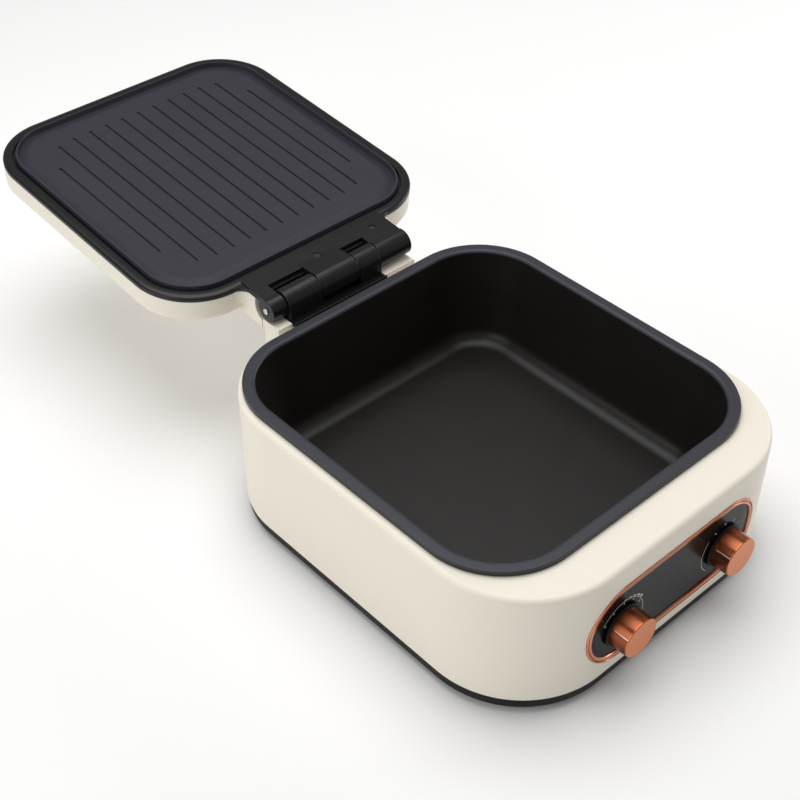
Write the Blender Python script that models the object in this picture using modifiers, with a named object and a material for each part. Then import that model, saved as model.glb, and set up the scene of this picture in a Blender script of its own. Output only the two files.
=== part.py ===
"""Hot pot and grill combo: a square electric pot whose lid swings back flat and works as a grill.

Metres, +Z up. The feet stand on z = 0, the knobs face -Y and the hinge is at the back, +Y.
The lid is modelled closed over the pot and then swung back about the hinge pin to its open rest pose.
"""
import math
from collections import namedtuple

import bmesh
import bpy
from mathutils import Matrix, Vector

# Fits shared by every piece
GAP = 0.0003
OVERRUN = 0.002
CORNER_STEPS = 8
ARC_STEPS = 4
ROUND_STEPS = 24
SMALL_STEPS = 12
MERGE_DISTANCE = 0.00001
SMOOTH_ANGLE = math.radians(35)

# Inner pot, with its centre as the reference for every place along Y
RIM_HALF_WIDTH = 0.132
RIM_HALF_DEPTH = 0.139
RIM_CORNER = 0.058
RIM_LIP = 0.009
RIM_THICKNESS = 0.004
RIM_EDGE = 0.0008
RIM_ROUND = 0.003
RIM_DROP = 0.002
POT_DEPTH = 0.075
POT_WALL = 0.0025
POT_CLEARANCE = 0.0008
POT_DRAFT = 0.010
POT_FOOT_RADIUS = 0.016

# Housing shell, whose deck runs round the pot's rim
SIDE_DECK = 0.006
FRONT_DECK = 0.029
BACK_DECK = 0.0065
CORNER_DECK = 0.014
HOUSING_WALL = 0.0028
DECK_THICKNESS = 0.003
DECK_ROUND = 0.007

# Bottom cover, feet and screws
FOOT_HEIGHT = 0.004
BAND_HEIGHT = 0.009
COVER_STEP = 0.0008
COVER_FLOOR = 0.0025
COVER_ROUND = 0.003
COVER_LIP_HEIGHT = 0.004
COVER_LIP_WALL = 0.002
FOOT_RADIUS = 0.010
FOOT_EMBED = 0.0015
FOOT_ROUND = 0.001
FOOT_SIDE_INSET = 0.038
FOOT_END_INSET = 0.032
VENT_COUNT = 7
VENT_PITCH = 0.014
VENT_WIDTH = 0.004
VENT_LENGTH = 0.060
COVER_SCREW_SIDE = 0.060
COVER_SCREW_INSET = 0.030
COVER_SCREW_RADIUS = 0.0035
COVER_SCREW_SHANK = 0.0018
COVER_SCREW_LENGTH = 0.008
SCREW_POST_RADIUS = 0.006

# Well, heater and sensor under the pot
WELL_RISE = 0.013
WELL_SEAT = 0.0007
WELL_CLEARANCE = 0.0018
WELL_SHEET = 0.0012
WELL_ROUND = 0.012
WELL_HOLE_RADIUS = 0.020
HEATER_RADIUS = 0.078
HEATER_THICKNESS = 0.0085
HEATER_EDGE = 0.001
HEATER_POST_HEIGHT = 0.0027
HEATER_POST_RADIUS = 0.006
HEATER_POST_INSET = 0.012
HEATER_POSTS = 3
ELEMENT_RADIUS = 0.0035
ELEMENT_RING = 0.046
ELEMENT_OPENING = math.radians(30)
ELEMENT_POINTS = 28
SENSOR_RADIUS = 0.011
SENSOR_MARGIN = 0.005
SENSOR_CAP = 0.0028
SENSOR_STEM_RADIUS = 0.0045
SENSOR_EDGE = 0.0008
SENSOR_TRAVEL = 0.0015
GUIDE_WALL = 0.004
GUIDE_TOP_GAP = 0.0011
GUIDE_SEAT_WIDTH = 0.0035
GUIDE_FLANGE = 0.0012
FUSE_RADIUS = 0.0012
FUSE_LENGTH = 0.016
FUSE_INSET = 0.008

# Control panel on the front wall
TRIM_TOP_MARGIN = 0.011
TRIM_FOOT_MARGIN = 0.009
TRIM_HALF_WIDTH = 0.081
TRIM_WIDTH = 0.003
TRIM_PROUD = 0.0008
TRIM_DEPTH = 0.0034
PANEL_SINK = 0.0006
PANEL_THICKNESS = 0.002
PILL_ROUND_SHARE = 0.97
KNOB_INSET = 0.0315
KNOB_DROP = 0.004
KNOB_RADIUS = 0.0148
KNOB_LENGTH = 0.0150
KNOB_TAPER = 0.0006
KNOB_EDGE = 0.0009
KNOB_GAP = 0.0006
KNOB_COLLAR = 0.0015
KNOB_COLLAR_THICKNESS = 0.0016
POINTER_WIDTH = 0.0009
POINTER_DEPTH = 0.0005
SPINDLE_RADIUS = 0.003
SPINDLE_COLLAR = 0.0015
SPINDLE_ENGAGEMENT = 0.010
SPINDLE_ROOT = 0.004
SPINDLE_FIT = 0.0004
SWITCH_HALF_SIZE = 0.015
SWITCH_DEPTH = 0.015
SWITCH_NECK_WALL = 0.0015
SWITCH_EDGE = 0.0015

# Hinge, from left to right along the pin
HINGE_SETBACK = 0.0115
HINGE_RISE = 0.009
HINGE_LEFT = -0.066
LEFT_KNUCKLE_WIDTH = 0.013
LEFT_BLOCK_WIDTH = 0.031
MIDDLE_KNUCKLE_WIDTH = 0.036
RIGHT_BLOCK_WIDTH = 0.021
RIGHT_KNUCKLE_WIDTH = 0.030
LEFT_KNUCKLE_RADIUS = 0.009
BLOCK_RADIUS = 0.0105
RIGHT_KNUCKLE_RADIUS = 0.010
KNUCKLE_SIDE_GAP = 0.0006
PIN_RADIUS = 0.0025
PIN_OVERHANG = 0.001
PIN_ENGAGEMENT = 0.006
POST_GAP = 0.0006
BOSS_DROP = 0.034
BOSS_TAPER = 0.014
STOP_GAP = 0.0005
LEDGE_THICKNESS = 0.0028
LEDGE_LIP_HEIGHT = 0.0011
LEDGE_LIP_WIDTH = 0.0016
LEDGE_FRONT = 0.0015
TROUGH_GAP = 0.0007

# Lid, in its closed pose
LID_TILT = math.radians(4.7)
LID_GAP = 0.0005
LID_INSET = 0.008
LINER_THICKNESS = 0.004
LINER_EDGE = 0.001
LINER_BORDER = 0.0095
LINER_SKIRT = 0.004
LINER_LEDGE = 0.005
LINER_LEDGE_THICKNESS = 0.002
SLOT_REACH = 0.0155
SLOT_FLOOR = 0.0012
SLOT_CLEARANCE = 0.0008
TAB_FILLET = 0.008
RAMP_REACH = 0.0185
RAMP_END = 0.003
TAB_SCREW_RADIUS = 0.0028
LID_HEIGHT = 0.026
LID_WALL = 0.0025
LID_ROUND = 0.010
LID_CROWN = 0.0012
LID_CROWN_INSET = 0.045
TONGUE_REACH = 0.005
TONGUE_GAP = 0.0018

# Grill plate and what lies behind it
PLATE_PROUD = 0.0025
PLATE_LIP = 0.0025
PLATE_RECESS = 0.002
PLATE_SLOPE = 0.0015
PLATE_THICKNESS = 0.004
PLATE_EDGE = 0.0008
GROOVE_COUNT = 13
GROOVE_WIDTH = 0.0022
GROOVE_DEPTH = 0.0013
GROOVE_SIDE_MARGIN = 0.0228
GROOVE_END_MARGIN = 0.0270
GROOVE_CORNER = 0.028
LID_TUBE_RADIUS = 0.0035
LID_TUBE_MARGIN = 0.036
LID_TUBE_LANES = 4
SHIELD_INSET = 0.017
SHIELD_DEPTH = 0.0085
SHIELD_THICKNESS = 0.001
LID_STAT_RADIUS = 0.008
LID_STAT_HEIGHT = 0.006

# Power inlet on the back wall, and the wiring inside
INLET_LIFT = 0.0247
INLET_HALF_WIDTH = 0.0125
INLET_HALF_HEIGHT = 0.009
INLET_FLANGE = 0.003
INLET_FLANGE_THICKNESS = 0.0015
INLET_DEPTH = 0.0095
INLET_POCKET_WALL = 0.0025
INLET_BACK_WALL = 0.001
INLET_ROUND_SHARE = 0.6
INLET_PIN_RADIUS = 0.0012
INLET_PIN_HALF_SPACING = 0.0043
INLET_PIN_RECESS = 0.0017
LOOM_RADIUS = 0.0022
LOOM_LIFT = 0.0018
LOOM_BEND = 0.010

# Heights worked out from the sizes above, from the table up
HOUSING_BOTTOM = FOOT_HEIGHT + BAND_HEIGHT + GAP
WELL_FLOOR_HEIGHT = FOOT_HEIGHT + WELL_RISE
HEATER_SEAT = WELL_FLOOR_HEIGHT + WELL_SHEET + GAP
HEATER_BOTTOM = HEATER_SEAT + HEATER_POST_HEIGHT
HEATER_TOP = HEATER_BOTTOM + HEATER_THICKNESS
POT_FLOOR_HEIGHT = HEATER_TOP + GAP
DECK_HEIGHT = POT_FLOOR_HEIGHT + POT_DEPTH - GAP
RIM_TOP = DECK_HEIGHT + GAP + RIM_THICKNESS
HINGE_HEIGHT = RIM_TOP + HINGE_RISE
LID_BASE = RIM_TOP + LID_GAP
PLATE_LIP_HEIGHT = LID_BASE - PLATE_PROUD
PLATE_FACE = PLATE_LIP_HEIGHT + PLATE_RECESS
PLATE_BACK = PLATE_FACE + PLATE_THICKNESS
TRIM_TOP = DECK_HEIGHT - DECK_ROUND - TRIM_TOP_MARGIN
TRIM_FOOT = HOUSING_BOTTOM + TRIM_FOOT_MARGIN
TRIM_HALF_HEIGHT = (TRIM_TOP - TRIM_FOOT) / 2
PANEL_RISE = (TRIM_TOP + TRIM_FOOT) / 2
KNOB_RISE = PANEL_RISE - KNOB_DROP
INLET_RISE = HOUSING_BOTTOM + INLET_LIFT
LOOM_RISE = FOOT_HEIGHT + COVER_FLOOR + LOOM_RADIUS + LOOM_LIFT

# Places along Y: the pot's centre is set so that the open object is centred on the origin
FRONT_REACH = RIM_HALF_DEPTH + FRONT_DECK
BACK_REACH = RIM_HALF_DEPTH + BACK_DECK
HINGE_REACH = BACK_REACH + HINGE_SETBACK
KNOB_REACH = FRONT_REACH + KNOB_GAP + KNOB_LENGTH
LID_TIP_REACH = HINGE_REACH + (HINGE_REACH + RIM_HALF_DEPTH - LID_INSET) * math.cos(LID_TILT)
POT_Y = (KNOB_REACH - LID_TIP_REACH) / 2
HINGE_Y = POT_Y + HINGE_REACH
FRONT_Y = POT_Y - FRONT_REACH
BACK_Y = POT_Y + BACK_REACH
SWITCH_Y = FRONT_Y + HOUSING_WALL + TRIM_DEPTH

# Places along X, and radii that go round a neighbour
LEFT_BLOCK_START = HINGE_LEFT + LEFT_KNUCKLE_WIDTH
LEFT_BLOCK_END = LEFT_BLOCK_START + LEFT_BLOCK_WIDTH
RIGHT_BLOCK_START = LEFT_BLOCK_END + MIDDLE_KNUCKLE_WIDTH
RIGHT_BLOCK_END = RIGHT_BLOCK_START + RIGHT_BLOCK_WIDTH
HINGE_RIGHT = RIGHT_BLOCK_END + RIGHT_KNUCKLE_WIDTH
PIN_END = RIGHT_BLOCK_END + PIN_ENGAGEMENT
KNOB_SPACING = TRIM_HALF_WIDTH - KNOB_INSET
LOOM_SIDE = COVER_SCREW_SIDE + SCREW_POST_RADIUS + LOOM_BEND + LOOM_RADIUS
SPINDLE_COLLAR_RADIUS = SPINDLE_RADIUS + SPINDLE_COLLAR
SENSOR_HOLE_RADIUS = SENSOR_RADIUS + SENSOR_MARGIN

Section = namedtuple("Section", "outline z")


class Outline:
    """A rounded rectangle in plan, with the place of its centre along Y."""

    def __init__(self, half_x, half_y, centre_y, corner):
        self.half_x = half_x
        self.half_y = half_y
        self.centre_y = centre_y
        self.corner = corner

    def inset(self, distance):
        return Outline(self.half_x - distance, self.half_y - distance, self.centre_y, self.corner - distance)

    def points(self):
        found = []
        for quarter in range(4):
            start = quarter * math.pi / 2
            side_x = 1 if quarter in (0, 3) else -1
            side_y = 1 if quarter in (0, 1) else -1
            for step in range(CORNER_STEPS + 1):
                angle = start + step * math.pi / 2 / CORNER_STEPS
                x = side_x * (self.half_x - self.corner) + self.corner * math.cos(angle)
                y = side_y * (self.half_y - self.corner) + self.corner * math.sin(angle)
                found.append((x, self.centre_y + y))
        return found


RIM = Outline(RIM_HALF_WIDTH, RIM_HALF_DEPTH, POT_Y, RIM_CORNER)
POT_OUTER = RIM.inset(RIM_LIP - POT_WALL)
POT_INNER = RIM.inset(RIM_LIP)
OPENING = POT_OUTER.inset(-POT_CLEARANCE)
HOUSING = Outline(
    RIM_HALF_WIDTH + SIDE_DECK,
    (FRONT_REACH + BACK_REACH) / 2,
    POT_Y + (BACK_REACH - FRONT_REACH) / 2,
    RIM_CORNER + CORNER_DECK,
)
HOUSING_INSIDE = HOUSING.inset(HOUSING_WALL)
COVER = HOUSING.inset(COVER_STEP)
WELL = POT_OUTER.inset(-WELL_CLEARANCE - WELL_SHEET)
LID = RIM.inset(LID_INSET)
PLATE = LID.inset(LINER_BORDER + GAP)


# Scene, materials and the operations that every piece uses
def clear_scene():
    for item in list(bpy.data.objects):
        bpy.data.objects.remove(item, do_unlink=True)


def new_collection(name):
    found = bpy.data.collections.new(name)
    bpy.context.scene.collection.children.link(found)
    return found


clear_scene()
PARTS = new_collection("hot_pot_grill")
CUTTERS = new_collection("cutters")
LID_PIVOT = bpy.data.objects.new("lid_pivot", None)
PARTS.objects.link(LID_PIVOT)
LID_PIVOT.location = (0, HINGE_Y, HINGE_HEIGHT)
LID_PIVOT.rotation_euler.x = LID_TILT - math.pi


def finish(name, color, roughness, metallic):
    found = bpy.data.materials.new(name)
    found.use_nodes = True
    shader = found.node_tree.nodes["Principled BSDF"]
    shader.inputs["Base Color"].default_value = (*color, 1)
    shader.inputs["Roughness"].default_value = roughness
    shader.inputs["Metallic"].default_value = metallic
    return found


CREAM = finish("cream_enamel", (0.86, 0.80, 0.70), 0.4, 0)
BLACK = finish("black_plastic", (0.025, 0.025, 0.027), 0.45, 0)
GLOSS = finish("gloss_black", (0.03, 0.03, 0.033), 0.15, 0)
COPPER = finish("rose_copper", (0.62, 0.27, 0.17), 0.28, 1)
COATING = finish("non_stick_coating", (0.03, 0.028, 0.03), 0.5, 0.2)
GRILL = finish("grill_coating", (0.045, 0.045, 0.06), 0.55, 0.2)
STEEL = finish("bright_steel", (0.6, 0.6, 0.6), 0.3, 1)
CAST = finish("cast_aluminium", (0.55, 0.55, 0.55), 0.5, 1)
RUBBER = finish("rubber", (0.03, 0.03, 0.03), 0.8, 0)
BRASS = finish("brass", (0.7, 0.5, 0.25), 0.3, 1)
WIRE = finish("wire_sleeve", (0.5, 0.5, 0.48), 0.7, 0)
CUTTING = finish("cutting", (0.8, 0.1, 0.1), 0.5, 0)


def place(name, mesh, material):
    """Link a mesh as a part, or as a cutter when its material is the cutting one."""
    item = bpy.data.objects.new(name, mesh)
    mesh.materials.append(material)
    cutter = material is CUTTING
    (CUTTERS if cutter else PARTS).objects.link(item)
    item.hide_render = cutter
    if cutter:
        item.display_type = "WIRE"
    else:
        mesh.shade_smooth()
        mesh.set_sharp_from_angle(angle=SMOOTH_ANGLE)
    return item


def from_bmesh(name, bm, material):
    bmesh.ops.recalc_face_normals(bm, faces=bm.faces)
    mesh = bpy.data.meshes.new(name)
    bm.to_mesh(mesh)
    bm.free()
    return place(name, mesh, material)


def loft(name, sections, material, ring=False):
    """Skin a row of plan outlines at their heights; a ring closes on itself, others are capped."""
    bm = bmesh.new()
    loops = []
    for section in sections:
        loops.append([bm.verts.new((x, y, section.z)) for x, y in section.outline.points()])
    pairs = list(zip(loops, loops[1:]))
    if ring:
        pairs.append((loops[-1], loops[0]))
    else:
        bm.faces.new(loops[0])
        bm.faces.new(loops[-1])
    for lower, upper in pairs:
        for i in range(len(lower)):
            j = (i + 1) % len(lower)
            bm.faces.new((lower[i], lower[j], upper[j], upper[i]))
    return from_bmesh(name, bm, material)


def rounded(outline, radius, z, up=1, steps=ARC_STEPS):
    """Sections of a rounded edge, from the full outline to one inset by the radius, ending at z."""
    found = []
    for step in range(steps + 1):
        angle = step * math.pi / 2 / steps
        inset = radius * (1 - math.cos(angle))
        found.append(Section(outline.inset(inset), z - up * radius * (1 - math.sin(angle))))
    return found


def box(name, low, high, material, edge=0):
    bm = bmesh.new()
    bmesh.ops.create_cube(bm, size=1)
    for vert in bm.verts:
        vert.co = [low[axis] if vert.co[axis] < 0 else high[axis] for axis in range(3)]
    if edge:
        bmesh.ops.bevel(bm, geom=bm.edges[:], offset=edge, segments=2, profile=0.5, affect="EDGES")
    return from_bmesh(name, bm, material)


def rod(name, radius, start, end, material, steps=ROUND_STEPS):
    """A plain cylinder from one point to another."""
    start = Vector(start)
    end = Vector(end)
    bm = bmesh.new()
    bmesh.ops.create_cone(
        bm, cap_ends=True, segments=steps, radius1=radius, radius2=radius, depth=(end - start).length
    )
    turn = (end - start).to_track_quat("Z", "Y").to_matrix().to_4x4()
    bmesh.ops.transform(bm, matrix=Matrix.Translation((start + end) / 2) @ turn, verts=bm.verts)
    return from_bmesh(name, bm, material)


def prism(name, points, plane, start, end, material):
    """A flat outline drawn in the XZ or YZ plane and pulled along the third axis."""
    bm = bmesh.new()
    axis = 1 if plane == "XZ" else 0
    corners = [(u, start, v) if plane == "XZ" else (start, u, v) for u, v in points]
    face = bm.faces.new([bm.verts.new(corner) for corner in corners])
    moved = bmesh.ops.extrude_face_region(bm, geom=[face])["geom"]
    for vert in moved:
        if isinstance(vert, bmesh.types.BMVert):
            vert.co[axis] = end
    return from_bmesh(name, bm, material)


def slab(name, outline, low, high):
    """A flat outline in plan, raised from one height to another, to cut or join with."""
    bm = bmesh.new()
    face = bm.faces.new([bm.verts.new((x, y, low)) for x, y in outline])
    moved = bmesh.ops.extrude_face_region(bm, geom=[face])["geom"]
    verts = [v for v in moved if isinstance(v, bmesh.types.BMVert)]
    bmesh.ops.translate(bm, vec=(0, 0, high - low), verts=verts)
    return from_bmesh(name, bm, CUTTING)


def turned(name, profile, material, location, tilt=0, steps=ROUND_STEPS):
    """A profile of (radius, height) points, down its outer side, spun about Z and then tilted about X."""
    mesh = bpy.data.meshes.new(name)
    edges = [(i, i + 1) for i in range(len(profile) - 1)]
    if profile[0][0] > 0:
        edges.append((len(profile) - 1, 0))
    mesh.from_pydata([(radius, 0, height) for radius, height in profile], edges, [])
    item = place(name, mesh, material)
    item.location = location
    item.rotation_euler.x = tilt
    screw = item.modifiers.new("spin", "SCREW")
    screw.steps = steps
    screw.render_steps = steps
    screw.use_merge_vertices = True
    screw.merge_threshold = MERGE_DISTANCE
    screw.use_smooth_shade = True
    return item


def tube(name, points, radius, material, closed=False):
    """A bent tube along a polyline, as one welded mesh."""
    curve = bpy.data.curves.new(name, "CURVE")
    curve.dimensions = "3D"
    curve.bevel_depth = radius
    curve.bevel_resolution = 2
    curve.use_fill_caps = not closed
    line = curve.splines.new("POLY")
    line.points.add(len(points) - 1)
    for target, point in zip(line.points, points):
        target.co = (*point, 1)
    line.use_cyclic_u = closed
    guide = bpy.data.objects.new(name + "_path", curve)
    CUTTERS.objects.link(guide)
    solid = guide.evaluated_get(bpy.context.evaluated_depsgraph_get())
    mesh = bpy.data.meshes.new_from_object(solid)
    bpy.data.objects.remove(guide, do_unlink=True)
    bm = bmesh.new()
    bm.from_mesh(mesh)
    bmesh.ops.remove_doubles(bm, verts=bm.verts, dist=MERGE_DISTANCE)
    mesh.materials.clear()
    bm.to_mesh(mesh)
    bm.free()
    return place(name, mesh, material)


def carve(item, tool, operation="DIFFERENCE"):
    change = item.modifiers.new(operation.lower(), "BOOLEAN")
    change.operation = operation
    change.solver = "EXACT"
    change.object = tool
    return item


def hang_on_lid(*items):
    """Swing pieces and cutters, modelled on the closed lid, about the hinge pin to the rest pose."""
    for item in items:
        item.parent = LID_PIVOT
        item.matrix_parent_inverse = Matrix.Translation(-LID_PIVOT.location)


def arc(centre, radius, start, end, steps):
    """Points along an arc, in degrees from the first axis of its plane."""
    found = []
    for step in range(steps + 1):
        angle = math.radians(start + (end - start) * step / steps)
        found.append((centre[0] + radius * math.cos(angle), centre[1] + radius * math.sin(angle)))
    return found


def pill(half_width, half_height, centre_x, centre_z):
    shape = Outline(half_width, half_height, centre_z, half_height * PILL_ROUND_SHARE)
    return [(centre_x + x, z) for x, z in shape.points()]


# Cream housing: deck, wall, hinge boss and posts
def make_housing():
    deck_edge = rounded(HOUSING, DECK_ROUND, DECK_HEIGHT)
    under = DECK_HEIGHT - DECK_THICKNESS
    inner_round = DECK_ROUND - HOUSING_WALL
    sections = [Section(HOUSING, HOUSING_BOTTOM)] + deck_edge
    sections += [Section(OPENING, DECK_HEIGHT), Section(OPENING, under)]
    sections += list(reversed(rounded(HOUSING_INSIDE, inner_round, under)))
    sections += [Section(HOUSING_INSIDE, HOUSING_BOTTOM)]
    shell = loft("housing_shell", sections, CREAM, ring=True)
    add_hinge_boss(shell)
    opening = prism(
        "panel_opening",
        pill(TRIM_HALF_WIDTH + GAP, TRIM_HALF_HEIGHT + GAP, 0, PANEL_RISE),
        "XZ",
        FRONT_Y - OVERRUN,
        FRONT_Y + HOUSING_WALL + TRIM_DEPTH + OVERRUN,
        CUTTING,
    )
    carve(shell, opening)
    inlet = prism(
        "inlet_opening",
        inlet_outline(INLET_HALF_WIDTH + GAP, INLET_HALF_HEIGHT + GAP),
        "XZ",
        BACK_Y - HOUSING_WALL - OVERRUN,
        BACK_Y + OVERRUN,
        CUTTING,
    )
    carve(shell, inlet)


def boss_back():
    """The boss ends just short of the open lid's tongue, which stops against it."""
    lip_height = math.sqrt((BLOCK_RADIUS + TONGUE_GAP) ** 2 - TONGUE_REACH**2)
    lip = TONGUE_REACH * math.cos(LID_TILT) + lip_height * math.sin(LID_TILT)
    return HINGE_Y + lip - STOP_GAP


def add_hinge_boss(shell):
    inside = BACK_Y - HOUSING_WALL / 2
    back = boss_back()
    top = DECK_HEIGHT
    side = [
        (inside, top),
        (back, top),
        (back, top - BOSS_DROP + BOSS_TAPER),
        (inside, top - BOSS_DROP),
    ]
    boss = prism("hinge_boss", side, "YZ", HINGE_LEFT, HINGE_RIGHT, CUTTING)
    carve(shell, boss, "UNION")
    posts = (
        (HINGE_LEFT, LEFT_BLOCK_START - GAP, LEFT_KNUCKLE_RADIUS),
        (RIGHT_BLOCK_END + GAP, HINGE_RIGHT, RIGHT_KNUCKLE_RADIUS),
    )
    for number, (left, right, radius) in enumerate(posts):
        low = (left, inside, top - DECK_THICKNESS / 2)
        high = (right, back - GAP, HINGE_HEIGHT - radius - POST_GAP)
        carve(shell, box(f"hinge_post_{number}", low, high, CUTTING), "UNION")


# Black band, floor and lip that close the housing from below
def make_bottom_cover():
    top = FOOT_HEIGHT + BAND_HEIGHT
    lip = HOUSING_INSIDE.inset(GAP)
    inside = lip.inset(COVER_LIP_WALL)
    sections = list(reversed(rounded(COVER, COVER_ROUND, FOOT_HEIGHT, up=-1)))
    sections += [Section(COVER, top), Section(lip, top), Section(lip, top + COVER_LIP_HEIGHT)]
    sections += [Section(inside, top + COVER_LIP_HEIGHT), Section(inside, FOOT_HEIGHT + COVER_FLOOR)]
    cover = loft("bottom_cover", sections, BLACK)
    for number in range(VENT_COUNT):
        x = (number - (VENT_COUNT - 1) / 2) * VENT_PITCH
        low = (x - VENT_WIDTH / 2, POT_Y - VENT_LENGTH / 2, FOOT_HEIGHT - OVERRUN)
        high = (x + VENT_WIDTH / 2, POT_Y + VENT_LENGTH / 2, FOOT_HEIGHT + COVER_FLOOR + OVERRUN)
        carve(cover, box(f"vent_{number}", low, high, CUTTING))
    make_feet(cover)
    make_cover_screws(cover)


def make_feet(cover):
    side = HOUSING.half_x - FOOT_SIDE_INSET
    front = FRONT_Y + FOOT_END_INSET
    back = BACK_Y - FOOT_END_INSET
    spots = (
        ("front_left", -side, front),
        ("front_right", side, front),
        ("back_left", -side, back),
        ("back_right", side, back),
    )
    top = FOOT_HEIGHT + FOOT_EMBED
    profile = [(0, top), (FOOT_RADIUS, top), (FOOT_RADIUS, FOOT_ROUND), (FOOT_RADIUS - FOOT_ROUND, 0), (0, 0)]
    for name, x, y in spots:
        turned(f"foot_{name}", profile, RUBBER, (x, y, 0))
        pocket = rod(
            f"foot_pocket_{name}",
            FOOT_RADIUS + GAP,
            (x, y, FOOT_HEIGHT - OVERRUN),
            (x, y, top + GAP),
            CUTTING,
        )
        carve(cover, pocket)


def make_cover_screws(cover):
    floor = FOOT_HEIGHT + COVER_FLOOR
    head = COVER_FLOOR / 2
    profile = [
        (0, COVER_SCREW_LENGTH),
        (COVER_SCREW_SHANK, COVER_SCREW_LENGTH),
        (COVER_SCREW_SHANK, head),
        (COVER_SCREW_RADIUS, head),
        (COVER_SCREW_RADIUS, 0),
        (0, 0),
    ]
    ends = (FRONT_Y + COVER_SCREW_INSET, BACK_Y - COVER_SCREW_INSET)
    spots = [(side * COVER_SCREW_SIDE, end) for end in ends for side in (-1, 1)]
    for number, (x, y) in enumerate(spots, 1):
        post = rod(
            f"screw_post_{number}",
            SCREW_POST_RADIUS,
            (x, y, floor - COVER_FLOOR / 2),
            (x, y, FOOT_HEIGHT + COVER_SCREW_LENGTH - GAP),
            CUTTING,
            SMALL_STEPS,
        )
        carve(cover, post, "UNION")
        for label, radius, low, high in (
            ("head", COVER_SCREW_RADIUS + GAP, FOOT_HEIGHT - OVERRUN, FOOT_HEIGHT + head + GAP),
            ("shank", COVER_SCREW_SHANK + GAP, FOOT_HEIGHT, FOOT_HEIGHT + COVER_SCREW_LENGTH + OVERRUN),
        ):
            hole = rod(f"screw_{label}_{number}", radius, (x, y, low), (x, y, high), CUTTING, SMALL_STEPS)
            carve(cover, hole)
        turned(f"cover_screw_{number}", profile, STEEL, (x, y, FOOT_HEIGHT), steps=SMALL_STEPS)


# Control panel: copper frame and gloss plate, both following the bowed front wall
def wall_band(name, outer, inner, material):
    low = PANEL_RISE - TRIM_HALF_HEIGHT - OVERRUN
    high = PANEL_RISE + TRIM_HALF_HEIGHT + OVERRUN
    corners = [(outer, low), (outer, high), (inner, high), (inner, low)]
    return loft(name, [Section(HOUSING.inset(depth), z) for depth, z in corners], material, ring=True)


def front_pill(name, half_width, half_height):
    shape = pill(half_width, half_height, 0, PANEL_RISE)
    start = FRONT_Y - TRIM_PROUD - OVERRUN
    return prism(name, shape, "XZ", start, FRONT_Y + HOUSING_WALL + TRIM_DEPTH + OVERRUN, CUTTING)


def make_control_panel():
    trim = wall_band("control_trim", -TRIM_PROUD, TRIM_DEPTH - TRIM_PROUD, COPPER)
    carve(trim, front_pill("trim_outside", TRIM_HALF_WIDTH, TRIM_HALF_HEIGHT), "INTERSECT")
    carve(trim, front_pill("trim_inside", TRIM_HALF_WIDTH - TRIM_WIDTH, TRIM_HALF_HEIGHT - TRIM_WIDTH))
    panel = wall_band("control_panel", PANEL_SINK, PANEL_SINK + PANEL_THICKNESS, GLOSS)
    edge = TRIM_WIDTH + GAP
    carve(panel, front_pill("panel_outside", TRIM_HALF_WIDTH - edge, TRIM_HALF_HEIGHT - edge), "INTERSECT")
    for name, side in (("left", -1), ("right", 1)):
        x = side * KNOB_SPACING
        hole = rod(
            f"spindle_hole_{name}",
            SPINDLE_COLLAR_RADIUS + SPINDLE_FIT,
            (x, FRONT_Y - OVERRUN, KNOB_RISE),
            (x, FRONT_Y + HOUSING_WALL + TRIM_DEPTH, KNOB_RISE),
            CUTTING,
        )
        carve(panel, hole)
        make_knob(name, x)
        make_switch(name, x)


def make_knob(name, x):
    """A copper knob pressed on a spindle; local +Z points out of the front."""
    back = KNOB_GAP
    front = KNOB_GAP + KNOB_LENGTH
    profile = [
        (0, front),
        (KNOB_RADIUS - KNOB_TAPER - KNOB_EDGE, front),
        (KNOB_RADIUS - KNOB_TAPER, front - KNOB_EDGE),
        (KNOB_RADIUS, back + KNOB_COLLAR_THICKNESS),
        (KNOB_RADIUS + KNOB_COLLAR, back + KNOB_COLLAR_THICKNESS),
        (KNOB_RADIUS + KNOB_COLLAR, back),
        (0, back),
    ]
    facing = math.pi / 2
    knob = turned(f"knob_{name}", profile, COPPER, (x, FRONT_Y, KNOB_RISE), facing)
    bore = rod(
        f"knob_bore_{name}",
        SPINDLE_RADIUS + GAP,
        (x, FRONT_Y + OVERRUN, KNOB_RISE),
        (x, FRONT_Y - back - SPINDLE_ENGAGEMENT - GAP, KNOB_RISE),
        CUTTING,
        SMALL_STEPS,
    )
    carve(knob, bore)
    pointer = box(
        f"knob_pointer_{name}",
        (x - KNOB_RADIUS - OVERRUN, FRONT_Y - front + KNOB_EDGE * 2, KNOB_RISE - POINTER_WIDTH / 2),
        (
            x - KNOB_RADIUS + KNOB_TAPER + POINTER_DEPTH,
            FRONT_Y - back - KNOB_COLLAR_THICKNESS * 2,
            KNOB_RISE + POINTER_WIDTH / 2,
        ),
        CUTTING,
    )
    carve(knob, pointer)
    root = -(HOUSING_WALL + TRIM_DEPTH + SPINDLE_ROOT)
    spindle = [
        (0, back + SPINDLE_ENGAGEMENT),
        (SPINDLE_RADIUS, back + SPINDLE_ENGAGEMENT),
        (SPINDLE_RADIUS, back - GAP),
        (SPINDLE_COLLAR_RADIUS, back - GAP),
        (SPINDLE_COLLAR_RADIUS, -(HOUSING_WALL + TRIM_DEPTH - GAP)),
        (SPINDLE_RADIUS, -(HOUSING_WALL + TRIM_DEPTH - GAP)),
        (SPINDLE_RADIUS, root),
        (0, root),
    ]
    turned(f"spindle_{name}", spindle, STEEL, (x, FRONT_Y, KNOB_RISE), facing, SMALL_STEPS)


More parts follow.
